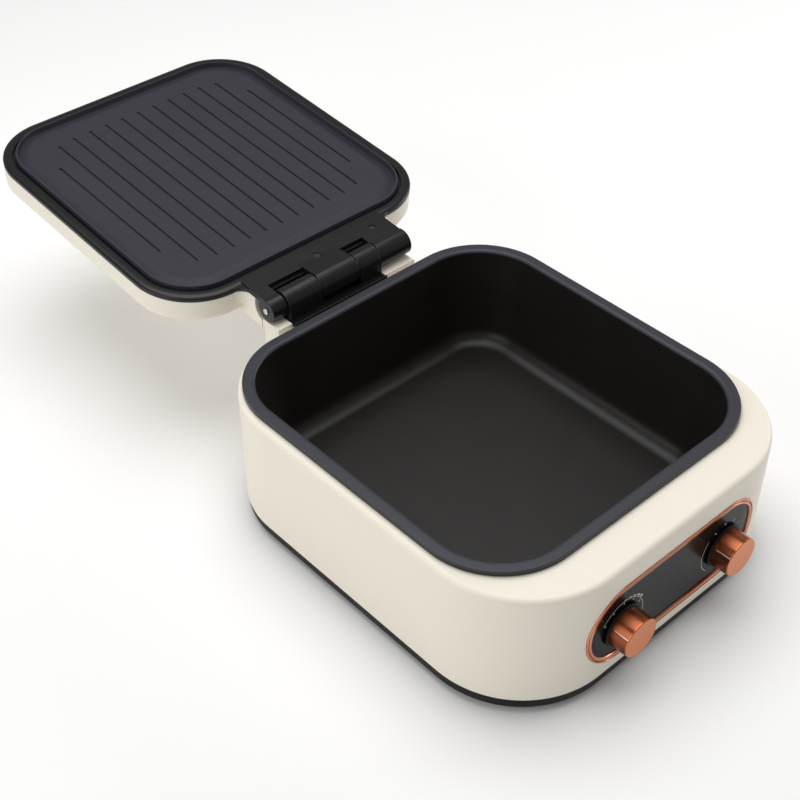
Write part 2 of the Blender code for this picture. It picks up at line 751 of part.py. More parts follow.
def make_switch(name, x):
    """A rotary switch behind the panel, with a neck round its spindle."""
    start = SWITCH_Y
    half = SWITCH_HALF_SIZE
    body = box(
        f"switch_{name}",
        (x - half, start, KNOB_RISE - half),
        (x + half, start + SWITCH_DEPTH, KNOB_RISE + half),
        BLACK,
        SWITCH_EDGE,
    )
    neck = rod(
        f"switch_neck_{name}",
        SPINDLE_COLLAR_RADIUS + SPINDLE_FIT + SWITCH_NECK_WALL,
        (x, FRONT_Y + PANEL_SINK + PANEL_THICKNESS + GAP, KNOB_RISE),
        (x, start + SWITCH_EDGE, KNOB_RISE),
        CUTTING,
    )
    carve(body, neck, "UNION")
    socket = rod(
        f"switch_collar_{name}",
        SPINDLE_COLLAR_RADIUS + SPINDLE_FIT,
        (x, FRONT_Y, KNOB_RISE),
        (x, start, KNOB_RISE),
        CUTTING,
    )
    carve(body, socket)
    socket = rod(
        f"switch_socket_{name}",
        SPINDLE_RADIUS + SPINDLE_FIT,
        (x, FRONT_Y, KNOB_RISE),
        (x, start + SPINDLE_ROOT + GAP, KNOB_RISE),
        CUTTING,
    )
    carve(body, socket)


# The pot, and the steel well that it hangs in
def make_pot():
    floor = POT_FLOOR_HEIGHT
    foot = POT_OUTER.inset(POT_DRAFT)
    sections = list(reversed(rounded(foot, POT_FOOT_RADIUS, floor, up=-1)))
    sections += [Section(POT_OUTER, DECK_HEIGHT + GAP), Section(RIM, DECK_HEIGHT + GAP)]
    sections += [Section(RIM, RIM_TOP - RIM_EDGE), Section(RIM.inset(RIM_EDGE), RIM_TOP)]
    for step in range(ARC_STEPS + 1):
        angle = step * math.pi / 2 / ARC_STEPS
        mouth = POT_INNER.inset(RIM_ROUND * (math.sin(angle) - 1))
        sections.append(Section(mouth, RIM_TOP - RIM_DROP * (1 - math.cos(angle))))
    inside = foot.inset(POT_WALL)
    sections += rounded(inside, POT_FOOT_RADIUS - POT_WALL, floor + POT_WALL, up=-1)
    loft("inner_pot", sections, COATING)


def make_well():
    top = DECK_HEIGHT - DECK_THICKNESS - GAP
    floor = WELL_FLOOR_HEIGHT
    inner = WELL.inset(WELL_SHEET)
    flange = WELL.inset(-WELL_SEAT)
    foot = WELL.inset(POT_DRAFT)
    sections = list(reversed(rounded(foot, WELL_ROUND, floor, up=-1)))
    sections += [Section(WELL, top - WELL_SHEET), Section(flange, top - WELL_SHEET), Section(flange, top)]
    sections += [Section(inner, top)]
    sections += rounded(foot.inset(WELL_SHEET), WELL_ROUND - WELL_SHEET, floor + WELL_SHEET, up=-1)
    well = loft("pot_well", sections, STEEL)
    hole = rod(
        "well_hole",
        WELL_HOLE_RADIUS,
        (0, POT_Y, floor - OVERRUN),
        (0, POT_Y, floor + WELL_SHEET + OVERRUN),
        CUTTING,
    )
    carve(well, hole)


# Cast heater plate under the pot, its element, the sprung sensor and the fuse
def make_heater():
    top = HEATER_TOP
    bottom = HEATER_BOTTOM
    reach = HEATER_RADIUS - HEATER_POST_INSET
    profile = [
        (SENSOR_HOLE_RADIUS, top),
        (HEATER_RADIUS - HEATER_EDGE, top),
        (HEATER_RADIUS, top - HEATER_EDGE),
        (HEATER_RADIUS, bottom),
        (SENSOR_HOLE_RADIUS, bottom),
    ]
    plate = turned("heater_plate", profile, CAST, (0, POT_Y, 0), steps=ROUND_STEPS * 2)
    for number in range(HEATER_POSTS):
        angle = math.pi / 2 + math.tau * number / HEATER_POSTS
        x = reach * math.cos(angle)
        y = POT_Y + reach * math.sin(angle)
        post = rod(
            f"heater_post_{number}",
            HEATER_POST_RADIUS,
            (x, y, HEATER_SEAT),
            (x, y, bottom + HEATER_THICKNESS / 2),
            CUTTING,
            SMALL_STEPS,
        )
        carve(plate, post, "UNION")
    make_element(plate, bottom)
    make_sensor()
    height = bottom - GAP - FUSE_RADIUS
    place_y = POT_Y + ELEMENT_RING - ELEMENT_RADIUS - FUSE_INSET
    ends = [(x, place_y, height) for x in (-FUSE_LENGTH / 2, FUSE_LENGTH / 2)]
    rod("thermal_fuse", FUSE_RADIUS, *ends, STEEL, SMALL_STEPS)


def make_element(plate, bottom):
    """An open ring half sunk in a groove under the plate, with its two ends turned down."""
    height = bottom + ELEMENT_RADIUS / 2
    span = math.tau - ELEMENT_OPENING
    start = -math.pi / 2 + ELEMENT_OPENING / 2

    path = []
    for step in range(ELEMENT_POINTS + 1):
        angle = start + span * step / ELEMENT_POINTS
        x = ELEMENT_RING * math.cos(angle)
        y = POT_Y + ELEMENT_RING * math.sin(angle)
        path.append((x, y, height))
    tube("heating_element", path, ELEMENT_RADIUS, STEEL)
    opening = ELEMENT_RADIUS + GAP
    groove_profile = [
        (ELEMENT_RING - opening, bottom - OVERRUN),
        (ELEMENT_RING - opening, height + opening),
        (ELEMENT_RING + opening, height + opening),
        (ELEMENT_RING + opening, bottom - OVERRUN),
    ]
    groove = turned("element_groove", groove_profile, CUTTING, (0, POT_Y, 0), steps=ROUND_STEPS * 2)
    carve(plate, groove)


def make_sensor():
    """A capped probe that dips by its travel when the pot sits on it, in a guide under the well."""
    top = HEATER_TOP
    seat = HEATER_SEAT
    cap = top - SENSOR_CAP
    guide_top = cap - SENSOR_TRAVEL - GUIDE_TOP_GAP
    guide_radius = SENSOR_STEM_RADIUS + GUIDE_WALL
    flange_radius = WELL_HOLE_RADIUS + GUIDE_SEAT_WIDTH
    stem_end = seat + GUIDE_FLANGE
    sensor = [
        (0, top),
        (SENSOR_RADIUS - SENSOR_EDGE, top),
        (SENSOR_RADIUS, top - SENSOR_EDGE),
        (SENSOR_RADIUS, cap),
        (SENSOR_STEM_RADIUS, cap),
        (SENSOR_STEM_RADIUS, stem_end),
        (0, stem_end),
    ]
    turned("temperature_sensor", sensor, CAST, (0, POT_Y, 0))
    bore = SENSOR_STEM_RADIUS + GAP
    guide = [
        (bore, guide_top),
        (guide_radius, guide_top),
        (guide_radius, seat + GUIDE_FLANGE),
        (flange_radius, seat + GUIDE_FLANGE),
        (flange_radius, seat),
        (bore, seat),
    ]
    turned("sensor_guide", guide, STEEL, (0, POT_Y, 0))


# Mains inlet in the back wall, and the loom that runs from it to the switches
def inlet_outline(half_width, half_height):
    shape = Outline(half_width, half_height, INLET_RISE, half_height * INLET_ROUND_SHARE)
    return shape.points()


def make_inlet():
    flange = inlet_outline(INLET_HALF_WIDTH + INLET_FLANGE, INLET_HALF_HEIGHT + INLET_FLANGE)
    outside = BACK_Y + GAP + INLET_FLANGE_THICKNESS
    inlet = prism("power_inlet", flange, "XZ", BACK_Y + GAP, outside, BLACK)
    body = prism(
        "inlet_body",
        inlet_outline(INLET_HALF_WIDTH, INLET_HALF_HEIGHT),
        "XZ",
        outside - INLET_DEPTH,
        BACK_Y + GAP + INLET_FLANGE_THICKNESS / 2,
        CUTTING,
    )
    carve(inlet, body, "UNION")
    pocket = prism(
        "inlet_pocket",
        inlet_outline(INLET_HALF_WIDTH - INLET_POCKET_WALL, INLET_HALF_HEIGHT - INLET_POCKET_WALL),
        "XZ",
        outside - INLET_DEPTH + INLET_BACK_WALL,
        outside + OVERRUN,
        CUTTING,
    )
    carve(inlet, pocket)
    for name, side in (("left", -1), ("right", 1)):
        x = side * INLET_PIN_HALF_SPACING
        foot = outside - INLET_DEPTH + INLET_BACK_WALL + GAP
        rod(
            f"inlet_pin_{name}",
            INLET_PIN_RADIUS,
            (x, foot, INLET_RISE),
            (x, outside - INLET_PIN_RECESS, INLET_RISE),
            BRASS,
            SMALL_STEPS,
        )


def make_loom():
    """One sleeve of wires: from the inlet down, forward under the well, and up to the left switch."""
    back = BACK_Y + GAP + INLET_FLANGE_THICKNESS - INLET_DEPTH - GAP - LOOM_RADIUS
    front = SWITCH_Y + SWITCH_DEPTH / 2
    rise = INLET_RISE - INLET_HALF_HEIGHT + LOOM_RADIUS
    low = LOOM_RISE
    bend = LOOM_BEND
    end = KNOB_RISE - SWITCH_HALF_SIZE - GAP
    riser = -KNOB_SPACING
    points = [(0, back, rise), (0, back, low + bend)]
    points += [(-bend / 3, back, low + bend / 3), (-bend, back, low)]
    points += [(bend - LOOM_SIDE, back, low), (-LOOM_SIDE, back - bend, low)]
    points += [(-LOOM_SIDE, front + bend, low), (bend / 3 - LOOM_SIDE, front + bend / 3, low)]
    points += [(bend - LOOM_SIDE, front, low), (riser - bend, front, low)]
    points += [(riser - bend / 3, front, low + bend / 3), (riser, front, low + bend), (riser, front, end)]
    tube("wiring_loom", points, LOOM_RADIUS, WIRE)


# Hinge on the base: bracket with two knuckles, its screws and the pin
def make_hinge_bracket():
    """One moulding: a ledge on the deck, two knuckles and a trough for the lid's middle knuckle."""
    base = DECK_HEIGHT + GAP
    ledge_top = base + LEDGE_THICKNESS
    front = POT_Y + RIM_HALF_DEPTH + LEDGE_FRONT
    back = boss_back() - GAP
    left = LEFT_BLOCK_START + GAP
    right = RIGHT_BLOCK_END - GAP
    lip_top = ledge_top + LEDGE_LIP_HEIGHT
    lip_back = front + LEDGE_LIP_WIDTH
    side = [(front, base), (front, lip_top), (lip_back, lip_top), (lip_back + LEDGE_LIP_HEIGHT, ledge_top)]
    side += [(HINGE_Y - BLOCK_RADIUS, ledge_top)]
    side += arc((HINGE_Y, HINGE_HEIGHT), BLOCK_RADIUS, 180, -45, ROUND_STEPS)
    side += [(back, ledge_top), (back, base)]
    bracket = prism("hinge_bracket", side, "YZ", left, right, BLACK)
    middle = box(
        "bracket_middle",
        (LEFT_BLOCK_END, lip_back + LEDGE_LIP_HEIGHT, ledge_top),
        (RIGHT_BLOCK_START, back + OVERRUN, HINGE_HEIGHT + BLOCK_RADIUS + OVERRUN),
        CUTTING,
    )
    carve(bracket, middle)
    circle = arc((HINGE_Y, HINGE_HEIGHT), BLOCK_RADIUS + TROUGH_GAP, 0, 360, ROUND_STEPS * 2)[:-1]
    trough = prism("knuckle_trough", circle, "YZ", LEFT_BLOCK_END, RIGHT_BLOCK_START, CUTTING)
    carve(bracket, trough)
    bore = rod(
        "bracket_bore",
        PIN_RADIUS + GAP,
        (HINGE_LEFT - OVERRUN, HINGE_Y, HINGE_HEIGHT),
        (HINGE_RIGHT + OVERRUN, HINGE_Y, HINGE_HEIGHT),
        CUTTING,
    )
    carve(bracket, bore)
    rod(
        "hinge_pin",
        PIN_RADIUS,
        (HINGE_LEFT - PIN_OVERHANG, HINGE_Y, HINGE_HEIGHT),
        (PIN_END, HINGE_Y, HINGE_HEIGHT),
        STEEL,
    )


def tab_fillets(item, low, high):
    """Rounds the two inner corners where the hinge tab or tongue leaves the lid's back edge."""
    edge = POT_Y + RIM_HALF_DEPTH - LID_INSET
    fillets = []
    for number, (x, way) in enumerate(((HINGE_LEFT, -1), (HINGE_RIGHT, 1))):
        centre = (x + way * TAB_FILLET, edge + TAB_FILLET)
        bow = arc(centre, TAB_FILLET, 270, 270 - way * 90, ARC_STEPS)[:-1] + [(x, centre[1])]
        inner = (x - way * OVERRUN, edge - OVERRUN)
        outline = bow + [(inner[0], centre[1]), inner, (centre[0], inner[1])]
        fillet = slab(f"{item.name}_fillet_{number}", outline, low, high)
        carve(item, fillet, "UNION")
        fillets.append(fillet)
    return fillets


# Lid, modelled closed: cream shell with the tongue that covers the hinge
def make_lid_shell():
    low = LID_BASE + LINER_THICKNESS + GAP
    high = LID_BASE + LID_HEIGHT
    inner = LID.inset(LID_WALL)
    crown = Section(LID.inset(LID_CROWN_INSET), high + LID_CROWN)
    under = Section(LID.inset(LID_CROWN_INSET), high + LID_CROWN - LID_WALL)
    sections = [crown] + list(reversed(rounded(LID, LID_ROUND, high)))
    sections += [Section(LID, low), Section(inner, low)]
    sections += rounded(inner, LID_ROUND - LID_WALL, high - LID_WALL) + [under]
    shell = loft("lid_shell", sections, CREAM)
    tongue_end = HINGE_Y - TONGUE_REACH
    start = POT_Y + RIM_HALF_DEPTH - LID_INSET - LID_WALL / 2
    side = [
        (start, low),
        (tongue_end, low),
        (tongue_end, high),
        (start - LID_ROUND, high),
        (start - LID_ROUND, high - LID_WALL / 2),
        (start, high - LID_ROUND),
    ]
    tongue = prism("lid_tongue", side, "YZ", HINGE_LEFT, HINGE_RIGHT, CUTTING)
    hollow = box(
        "lid_hollow",
        (HINGE_LEFT + LID_WALL, start - LID_WALL, low - OVERRUN),
        (
            HINGE_RIGHT - LID_WALL,
            HINGE_Y - BLOCK_RADIUS - TONGUE_GAP - LID_WALL,
            high - LID_WALL,
        ),
        CUTTING,
    )
    round_hinge = rod(
        "tongue_round_hinge",
        BLOCK_RADIUS + TONGUE_GAP,
        (HINGE_LEFT - OVERRUN, HINGE_Y, HINGE_HEIGHT),
        (HINGE_RIGHT + OVERRUN, HINGE_Y, HINGE_HEIGHT),
        CUTTING,
        ROUND_STEPS * 2,
    )
    carve(shell, tongue, "UNION")
    carve(shell, hollow)
    carve(shell, round_hinge)
    fillets = tab_fillets(shell, low + GAP, high - LID_ROUND - GAP)
    hang_on_lid(shell, tongue, *fillets, hollow, round_hinge)


# Black liner: flange that meets the pot's rim, the hinge tab and three lid knuckles
def make_liner():
    low = LID_BASE
    back = low + LINER_THICKNESS
    ledge = PLATE_BACK + GAP
    ledge_back = ledge + LINER_LEDGE_THICKNESS
    border = LINER_BORDER
    corners = [
        (0, low + LINER_EDGE),
        (LINER_EDGE, low),
        (border - LINER_EDGE, low),
        (border, low + LINER_EDGE),
        (border, ledge),
        (border + LINER_LEDGE, ledge),
        (border + LINER_LEDGE, ledge_back),
        (border - LINER_SKIRT, ledge_back),
        (border - LINER_SKIRT, back),
        (0, back),
    ]
    liner = loft("lid_liner", [Section(LID.inset(depth), z) for depth, z in corners], BLACK, ring=True)
    tab = box(
        "hinge_tab",
        (HINGE_LEFT, POT_Y + RIM_HALF_DEPTH - LID_INSET - border / 2, low),
        (HINGE_RIGHT, HINGE_Y, back),
        CUTTING,
    )
    carve(liner, tab, "UNION")
    tools = [tab]
    ramp_low = HINGE_HEIGHT - math.sqrt(BLOCK_RADIUS**2 - RAMP_END**2)
    side = [
        (HINGE_Y - RAMP_REACH, low),
        (HINGE_Y - RAMP_END, ramp_low),
        (HINGE_Y - RAMP_END, low + LINER_THICKNESS / 2),
    ]
    ramp = prism("knuckle_ramp", side, "YZ", LEFT_BLOCK_END + GAP, RIGHT_BLOCK_START - GAP, CUTTING)
    carve(liner, ramp, "UNION")
    tools.append(ramp)
    side = KNUCKLE_SIDE_GAP
    knuckles = (
        ("left", HINGE_LEFT, LEFT_BLOCK_START, LEFT_KNUCKLE_RADIUS),
        ("middle", LEFT_BLOCK_END, RIGHT_BLOCK_START, BLOCK_RADIUS),
        ("right", RIGHT_BLOCK_END, HINGE_RIGHT, RIGHT_KNUCKLE_RADIUS),
    )
    for name, start, end, radius in knuckles:
        circle = arc((HINGE_Y, HINGE_HEIGHT), radius, 0, 360, ROUND_STEPS)[:-1]
        knuckle = prism(f"lid_knuckle_{name}", circle, "YZ", start, end, CUTTING)
        carve(liner, knuckle, "UNION")
        tools.append(knuckle)
    slots = (
        ("left", LEFT_BLOCK_START - side, LEFT_BLOCK_END + side),
        ("right", RIGHT_BLOCK_START - side, RIGHT_BLOCK_END + side),
    )
    for name, start, end in slots:
        slot = box(
            f"tab_slot_{name}",
            (start, HINGE_Y - SLOT_REACH, LID_BASE - BLOCK_RADIUS),
            (end, HINGE_Y + OVERRUN, back - SLOT_FLOOR),
            CUTTING,
        )
        carve(liner, slot)
        clearance = box(
            f"block_clearance_{name}",
            (start, HINGE_Y - BLOCK_RADIUS - SLOT_CLEARANCE, LID_BASE - BLOCK_RADIUS),
            (end, HINGE_Y + OVERRUN, back + OVERRUN),
            CUTTING,
        )
        carve(liner, clearance)
        tools += [slot, clearance]
    bore = rod(
        "liner_bore",
        PIN_RADIUS + GAP,
        (HINGE_LEFT - OVERRUN, HINGE_Y, HINGE_HEIGHT),
        (PIN_END + GAP, HINGE_Y, HINGE_HEIGHT),
        CUTTING,
    )
    carve(liner, bore)
    tools.append(bore)
    tools += make_tab_screws(liner)
    tools += tab_fillets(liner, low, back)
    hang_on_lid(liner, *tools)


def make_tab_screws(liner):
    """Two screws through the tab, beside the slots; they hold the liner to the shell's tongue."""
    tools = []
    y = HINGE_Y - SLOT_REACH - TAB_SCREW_RADIUS
    spots = (
        ("left", (LEFT_BLOCK_END + RIGHT_BLOCK_START) / 2),
        ("right", (RIGHT_BLOCK_END + HINGE_RIGHT) / 2),
    )
    for name, x in spots:
        start = (x, y, LID_BASE + LINER_EDGE / 2)
        end = (x, y, LID_BASE + LINER_THICKNESS)
        screw = rod(f"tab_screw_{name}", TAB_SCREW_RADIUS, start, end, STEEL, SMALL_STEPS)
        hole = rod(
            f"tab_hole_{name}",
            TAB_SCREW_RADIUS + GAP,
            (x, y, LID_BASE - OVERRUN),
            (x, y, LID_BASE + LINER_THICKNESS + OVERRUN),
            CUTTING,
            SMALL_STEPS,
        )
        carve(liner, hole)
        hang_on_lid(screw)
        tools.append(hole)
    return tools


# Grill plate in the liner, with its element, shield and thermostat behind it
def make_grill_plate():
    """A shallow tray: a raised lip all round that fits inside the pot's rim, and a grooved face."""
    sections = [
        Section(PLATE.inset(PLATE_LIP + PLATE_SLOPE), PLATE_FACE),
        Section(PLATE.inset(PLATE_LIP), PLATE_LIP_HEIGHT + PLATE_EDGE),
        Section(PLATE.inset(PLATE_LIP - PLATE_EDGE), PLATE_LIP_HEIGHT),
        Section(PLATE.inset(PLATE_EDGE), PLATE_LIP_HEIGHT),
        Section(PLATE, PLATE_LIP_HEIGHT + PLATE_EDGE),
        Section(PLATE, PLATE_BACK),
    ]
    plate = loft("grill_plate", sections, GRILL)
    hang_on_lid(plate)
    half_span = PLATE.half_x - GROOVE_SIDE_MARGIN
    half_length = PLATE.half_y - GROOVE_END_MARGIN
    for number in range(GROOVE_COUNT):
        x = half_span * (2 * number / (GROOVE_COUNT - 1) - 1)
        past = max(0, abs(x) - half_span + GROOVE_CORNER)
        drop = GROOVE_CORNER - math.sqrt(GROOVE_CORNER**2 - past**2)
        groove = groove_cutter(f"groove_{number}", x, half_length - drop - GROOVE_WIDTH / 2)
        carve(plate, groove)
        hang_on_lid(groove)


def groove_cutter(name, x, length):
    """A long bar with pointed ends, sunk in the plate's face."""
    outline = [
        (x - GROOVE_WIDTH / 2, POT_Y - length),
        (x, POT_Y - length - GROOVE_WIDTH / 2),
        (x + GROOVE_WIDTH / 2, POT_Y - length),
        (x + GROOVE_WIDTH / 2, POT_Y + length),
        (x, POT_Y + length + GROOVE_WIDTH / 2),
        (x - GROOVE_WIDTH / 2, POT_Y + length),
    ]
    return slab(name, outline, PLATE_FACE - OVERRUN, PLATE_FACE + GROOVE_DEPTH)


def make_lid_heater():
    """A tube laid in lanes on the back of the plate, a shield over it and a thermostat."""
    back = PLATE_BACK + GAP
    height = back + LID_TUBE_RADIUS
    half_span = PLATE.half_x - LID_TUBE_MARGIN
    lane_gap = 2 * half_span / (LID_TUBE_LANES - 1)
    reach = PLATE.half_y - LID_TUBE_MARGIN - lane_gap / 2
    points = []
    for lane in range(LID_TUBE_LANES):
        x = lane * lane_gap - half_span
        way = 1 if lane % 2 == 0 else -1
        points += [(x, POT_Y + way * reach, height), (x, POT_Y - way * reach, height)]
        if lane < LID_TUBE_LANES - 1:
            centre = (x + lane_gap / 2, POT_Y - way * reach)
            turn = arc(centre, lane_gap / 2, 180, 180 + way * 180, SMALL_STEPS)
            points += [(u, v, height) for u, v in turn[1:-1]]
    element = tube("lid_element", points, LID_TUBE_RADIUS, STEEL)
    ledge_back = back + LINER_LEDGE_THICKNESS
    top = ledge_back + GAP + SHIELD_DEPTH
    edge = LID.inset(LINER_BORDER + LINER_LEDGE / 2)
    skirt = LID.inset(SHIELD_INSET)
    sheet = SHIELD_THICKNESS
    corners = [
        Section(skirt.inset(sheet), top - sheet),
        Section(skirt.inset(sheet), ledge_back + GAP),
        Section(edge, ledge_back + GAP),
        Section(edge, ledge_back + GAP + sheet),
        Section(skirt, ledge_back + GAP + sheet),
        Section(skirt, top),
    ]
    shield = loft("lid_heat_shield", corners, STEEL)
    side = lane_gap * (LID_TUBE_LANES % 2) / 2
    stat = rod(
        "lid_thermostat",
        LID_STAT_RADIUS,
        (side, POT_Y, back),
        (side, POT_Y, back + LID_STAT_HEIGHT),
        CAST,
    )
    hang_on_lid(element, shield, stat)


def main():
    make_housing()
    make_bottom_cover()
    make_control_panel()
    make_pot()
    make_well()
    make_heater()
    make_inlet()
    make_loom()
    make_hinge_bracket()
    make_lid_shell()
    make_liner()
    make_grill_plate()
    make_lid_heater()


main()
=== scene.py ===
import math

import bmesh
import bpy
from mathutils import Matrix, Vector


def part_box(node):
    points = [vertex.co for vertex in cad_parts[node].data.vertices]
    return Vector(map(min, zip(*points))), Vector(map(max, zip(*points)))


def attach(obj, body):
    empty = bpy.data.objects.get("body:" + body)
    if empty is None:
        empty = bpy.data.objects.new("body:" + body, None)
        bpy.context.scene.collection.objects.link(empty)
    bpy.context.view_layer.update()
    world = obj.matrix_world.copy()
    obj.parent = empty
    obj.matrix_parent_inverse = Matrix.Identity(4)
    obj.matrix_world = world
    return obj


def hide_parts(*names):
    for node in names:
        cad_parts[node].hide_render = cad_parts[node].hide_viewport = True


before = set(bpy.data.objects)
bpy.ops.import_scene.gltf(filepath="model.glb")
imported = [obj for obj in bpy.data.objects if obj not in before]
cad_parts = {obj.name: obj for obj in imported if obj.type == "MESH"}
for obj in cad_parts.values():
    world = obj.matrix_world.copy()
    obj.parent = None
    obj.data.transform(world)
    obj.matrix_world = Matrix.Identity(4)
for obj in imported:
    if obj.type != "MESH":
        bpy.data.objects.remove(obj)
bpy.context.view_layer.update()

# Studio: a bright room and three soft lamps, seen from above the front left corner. The camera was
# fitted to the photo's outlines, and its place is counted from the pot's middle.


def middle_of(node):
    """The middle of a CAD node's box."""
    return [(low + high) / 2 for low, high in zip(*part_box(node))]


def aim(item, place, target):
    """Stands a camera or a lamp at a place, turned to a target."""
    item.location = place
    item.rotation_euler = (Vector(target) - Vector(place)).to_track_quat("-Z", "Y").to_euler()
    bpy.context.scene.collection.objects.link(item)


def add_lamp(name, place, target, size, watts):
    lamp = bpy.data.lights.new(name, "AREA")
    lamp.shape = "RECTANGLE"
    lamp.size, lamp.size_y = size
    lamp.energy = watts
    aim(bpy.data.objects.new(name, lamp), place, target)


POT_Y = middle_of("inner_pot")[1]
CAMERA_PLACE = (-0.5393, POT_Y - 0.5011, 0.7323)
CAMERA_TARGET = (0.0727, POT_Y + 0.1686, -0.0532)
CAMERA_LENS = 64.35
CAMERA_FILM = 36
CAMERA_REACH = 40
ROOM_TONE = (1.0, 0.99, 0.97, 1)
ROOM_STRENGTH = 0.3

camera_data = bpy.data.cameras.new("camera")
camera_data.lens = CAMERA_LENS
camera_data.sensor_width = CAMERA_FILM
camera_data.clip_end = CAMERA_REACH
camera = bpy.data.objects.new("camera", camera_data)
aim(camera, CAMERA_PLACE, CAMERA_TARGET)
bpy.context.scene.camera = camera

room = bpy.data.worlds.new("room")
room.use_nodes = True
room.node_tree.nodes["Background"].inputs["Color"].default_value = ROOM_TONE
room.node_tree.nodes["Background"].inputs["Strength"].default_value = ROOM_STRENGTH
bpy.context.scene.world = room
bpy.context.scene.view_settings.view_transform = "Standard"

add_lamp("overhead_lamp", (0.1, 0.25, 1.7), (0, 0, 0), (1.6, 1.6), 22.5)
add_lamp("left_lamp", (-1.6, 0.1, 0.8), (0, 0, 0.05), (1.4, 1.2), 9.5)
add_lamp("right_lamp", (1.7, -0.4, 0.7), (0, -0.1, 0.05), (0.9, 0.9), 9)

# Housing shell: one cream moulding in satin plastic, with the deck round the pot, the wall, and the
# boss and posts that carry the hinge. The panel and the mains inlet sit in openings in its wall.


class Signal:
    """A socket of a material. Arithmetic on it adds Math nodes, and node() adds any other kind."""

    def __init__(self, socket):
        self.socket = socket

    def node(self, kind, settings, inputs, output=0):
        tree = self.socket.id_data
        node = tree.nodes.new(kind)
        for name, value in settings.items():
            setattr(node, name, value)
        for name, value in inputs.items():
            if isinstance(value, Signal):
                tree.links.new(value.socket, node.inputs[name])
            else:
                node.inputs[name].default_value = value
        return Signal(node.outputs[output])

    def feed(self, shader, name):
        self.socket.id_data.links.new(self.socket, shader.inputs[name])

    def math(self, operation, first, second):
        return self.node("ShaderNodeMath", {"operation": operation}, {0: first, 1: second})

    def __add__(self, other):
        return self.math("ADD", self, other)

    def __radd__(self, other):
        return self.math("ADD", other, self)

    def __sub__(self, other):
        return self.math("SUBTRACT", self, other)

    def __rsub__(self, other):
        return self.math("SUBTRACT", other, self)

    def __mul__(self, other):
        return self.math("MULTIPLY", self, other)

    def __rmul__(self, other):
        return self.math("MULTIPLY", other, self)

    def __gt__(self, other):
        return self.math("GREATER_THAN", self, other)

    def along(self, axis):
        """One axis of this place, in metres."""
        return self.node("ShaderNodeSeparateXYZ", {}, {"Vector": self}, axis)

    def noise(self, scale, detail=2.0, roughness=0.5):
        """Noise at so many cells a metre, read at this place."""
        inputs = {"Vector": self, "Scale": scale, "Detail": detail, "Roughness": roughness}
        return self.node("ShaderNodeTexNoise", {}, inputs)

    def between(self, low, high):
        """This 0 to 1 signal as a value from low to high."""
        return low + self * (high - low)

    def tint(self, dark, light):
        """This 0 to 1 signal as a colour from dark to light. Either may be a signal itself."""
        pair = [tone if isinstance(tone, Signal) else (*tone, 1) for tone in (dark, light)]
        inputs = {0: self, 6: pair[0], 7: pair[1]}
        return self.node("ShaderNodeMix", {"data_type": "RGBA"}, inputs, 2)

    def bump(self, strength, depth):
        """This height as a normal; depth is the real height in metres."""
        inputs = {"Height": self, "Strength": strength, "Distance": depth}
        return self.node("ShaderNodeBump", {}, inputs)


def start_finish(name, **constants):
    """A material, its shader with the values that are the same all over, and the place on it."""
    material = bpy.data.materials.new(name)
    material.use_nodes = True
    tree = material.node_tree
    shader = tree.nodes["Principled BSDF"]
    for socket, value in constants.items():
        socket = socket.replace("_", " ").title().replace("Ior", "IOR")
        shader.inputs[socket].default_value = value
    place = Signal(tree.nodes.new("ShaderNodeTexCoord").outputs["Object"])
    return material, shader, place


class Outline:
    """A rounded rectangle: half its width, half its depth, its corner radius and its middle Y."""

    def __init__(self, half_x, half_y, corner, middle_y=0.0):
        self.half_x = half_x
        self.half_y = half_y
        self.corner = corner
        self.middle_y = middle_y

    def inset(self, distance):
        half_x, half_y = self.half_x - distance, self.half_y - distance
        return Outline(half_x, half_y, self.corner - distance, self.middle_y)

    def sheet(self, height, steps):
        """A bmesh with this outline as its one flat face."""
        bm = bmesh.new()
        bmesh.ops.create_grid(bm, x_segments=1, y_segments=1, size=1)
        bmesh.ops.scale(bm, vec=(self.half_x, self.half_y, 1), verts=bm.verts)
        bmesh.ops.bevel(
            bm, geom=bm.verts[:], offset=self.corner, segments=steps,
            profile=0.5, affect="VERTICES", material=-1,
        )
        bmesh.ops.translate(bm, vec=(0, self.middle_y, height), verts=bm.verts)
        return bm

    def take(self, vert, old, height):
        """Moves a vertex from its place on an old outline to the same place on this one."""
        x, y = vert.co.x, vert.co.y - old.middle_y
        along_x = (abs(x) - old.half_x + old.corner) / old.corner
        along_y = (abs(y) - old.half_y + old.corner) / old.corner
        new_x = math.copysign(self.half_x - self.corner + self.corner * along_x, x)
        new_y = math.copysign(self.half_y - self.corner + self.corner * along_y, y)
        vert.co = (new_x, new_y + self.middle_y, height)


def loft(rows, steps, closed=False):
    """A form through rows of (outline, height): a closed ring, or else capped at its two ends."""
    old, height = rows[0]
    bm = old.sheet(height, steps)
    edges = first = bm.edges[:]
    if closed:
        bmesh.ops.delete(bm, geom=bm.faces[:], context="FACES_ONLY")
    for outline, height in rows[1:]:
        grown = bmesh.ops.extrude_edge_only(bm, edges=edges)["geom"]
        edges = [part for part in grown if isinstance(part, bmesh.types.BMEdge)]
        for vert in {vert for edge in edges for vert in edge.verts}:
            outline.take(vert, old, height)
        old = outline
    if closed:
        bmesh.ops.bridge_loops(bm, edges=first + edges)
    else:
        bmesh.ops.edgeloop_fill(bm, edges=edges)
    bmesh.ops.recalc_face_normals(bm, faces=bm.faces)
    return bm


def round_rows(outline, radius, height, up=1, steps=6):
    """Rows of a round edge, from the whole outline to one inset by the radius, at this height."""
    rows = []
    for step in range(steps + 1):
        angle = step * math.pi / 2 / steps
        inset = radius * (1 - math.cos(angle))
        rows.append((outline.inset(inset), height - up * radius * (1 - math.sin(angle))))
    return rows


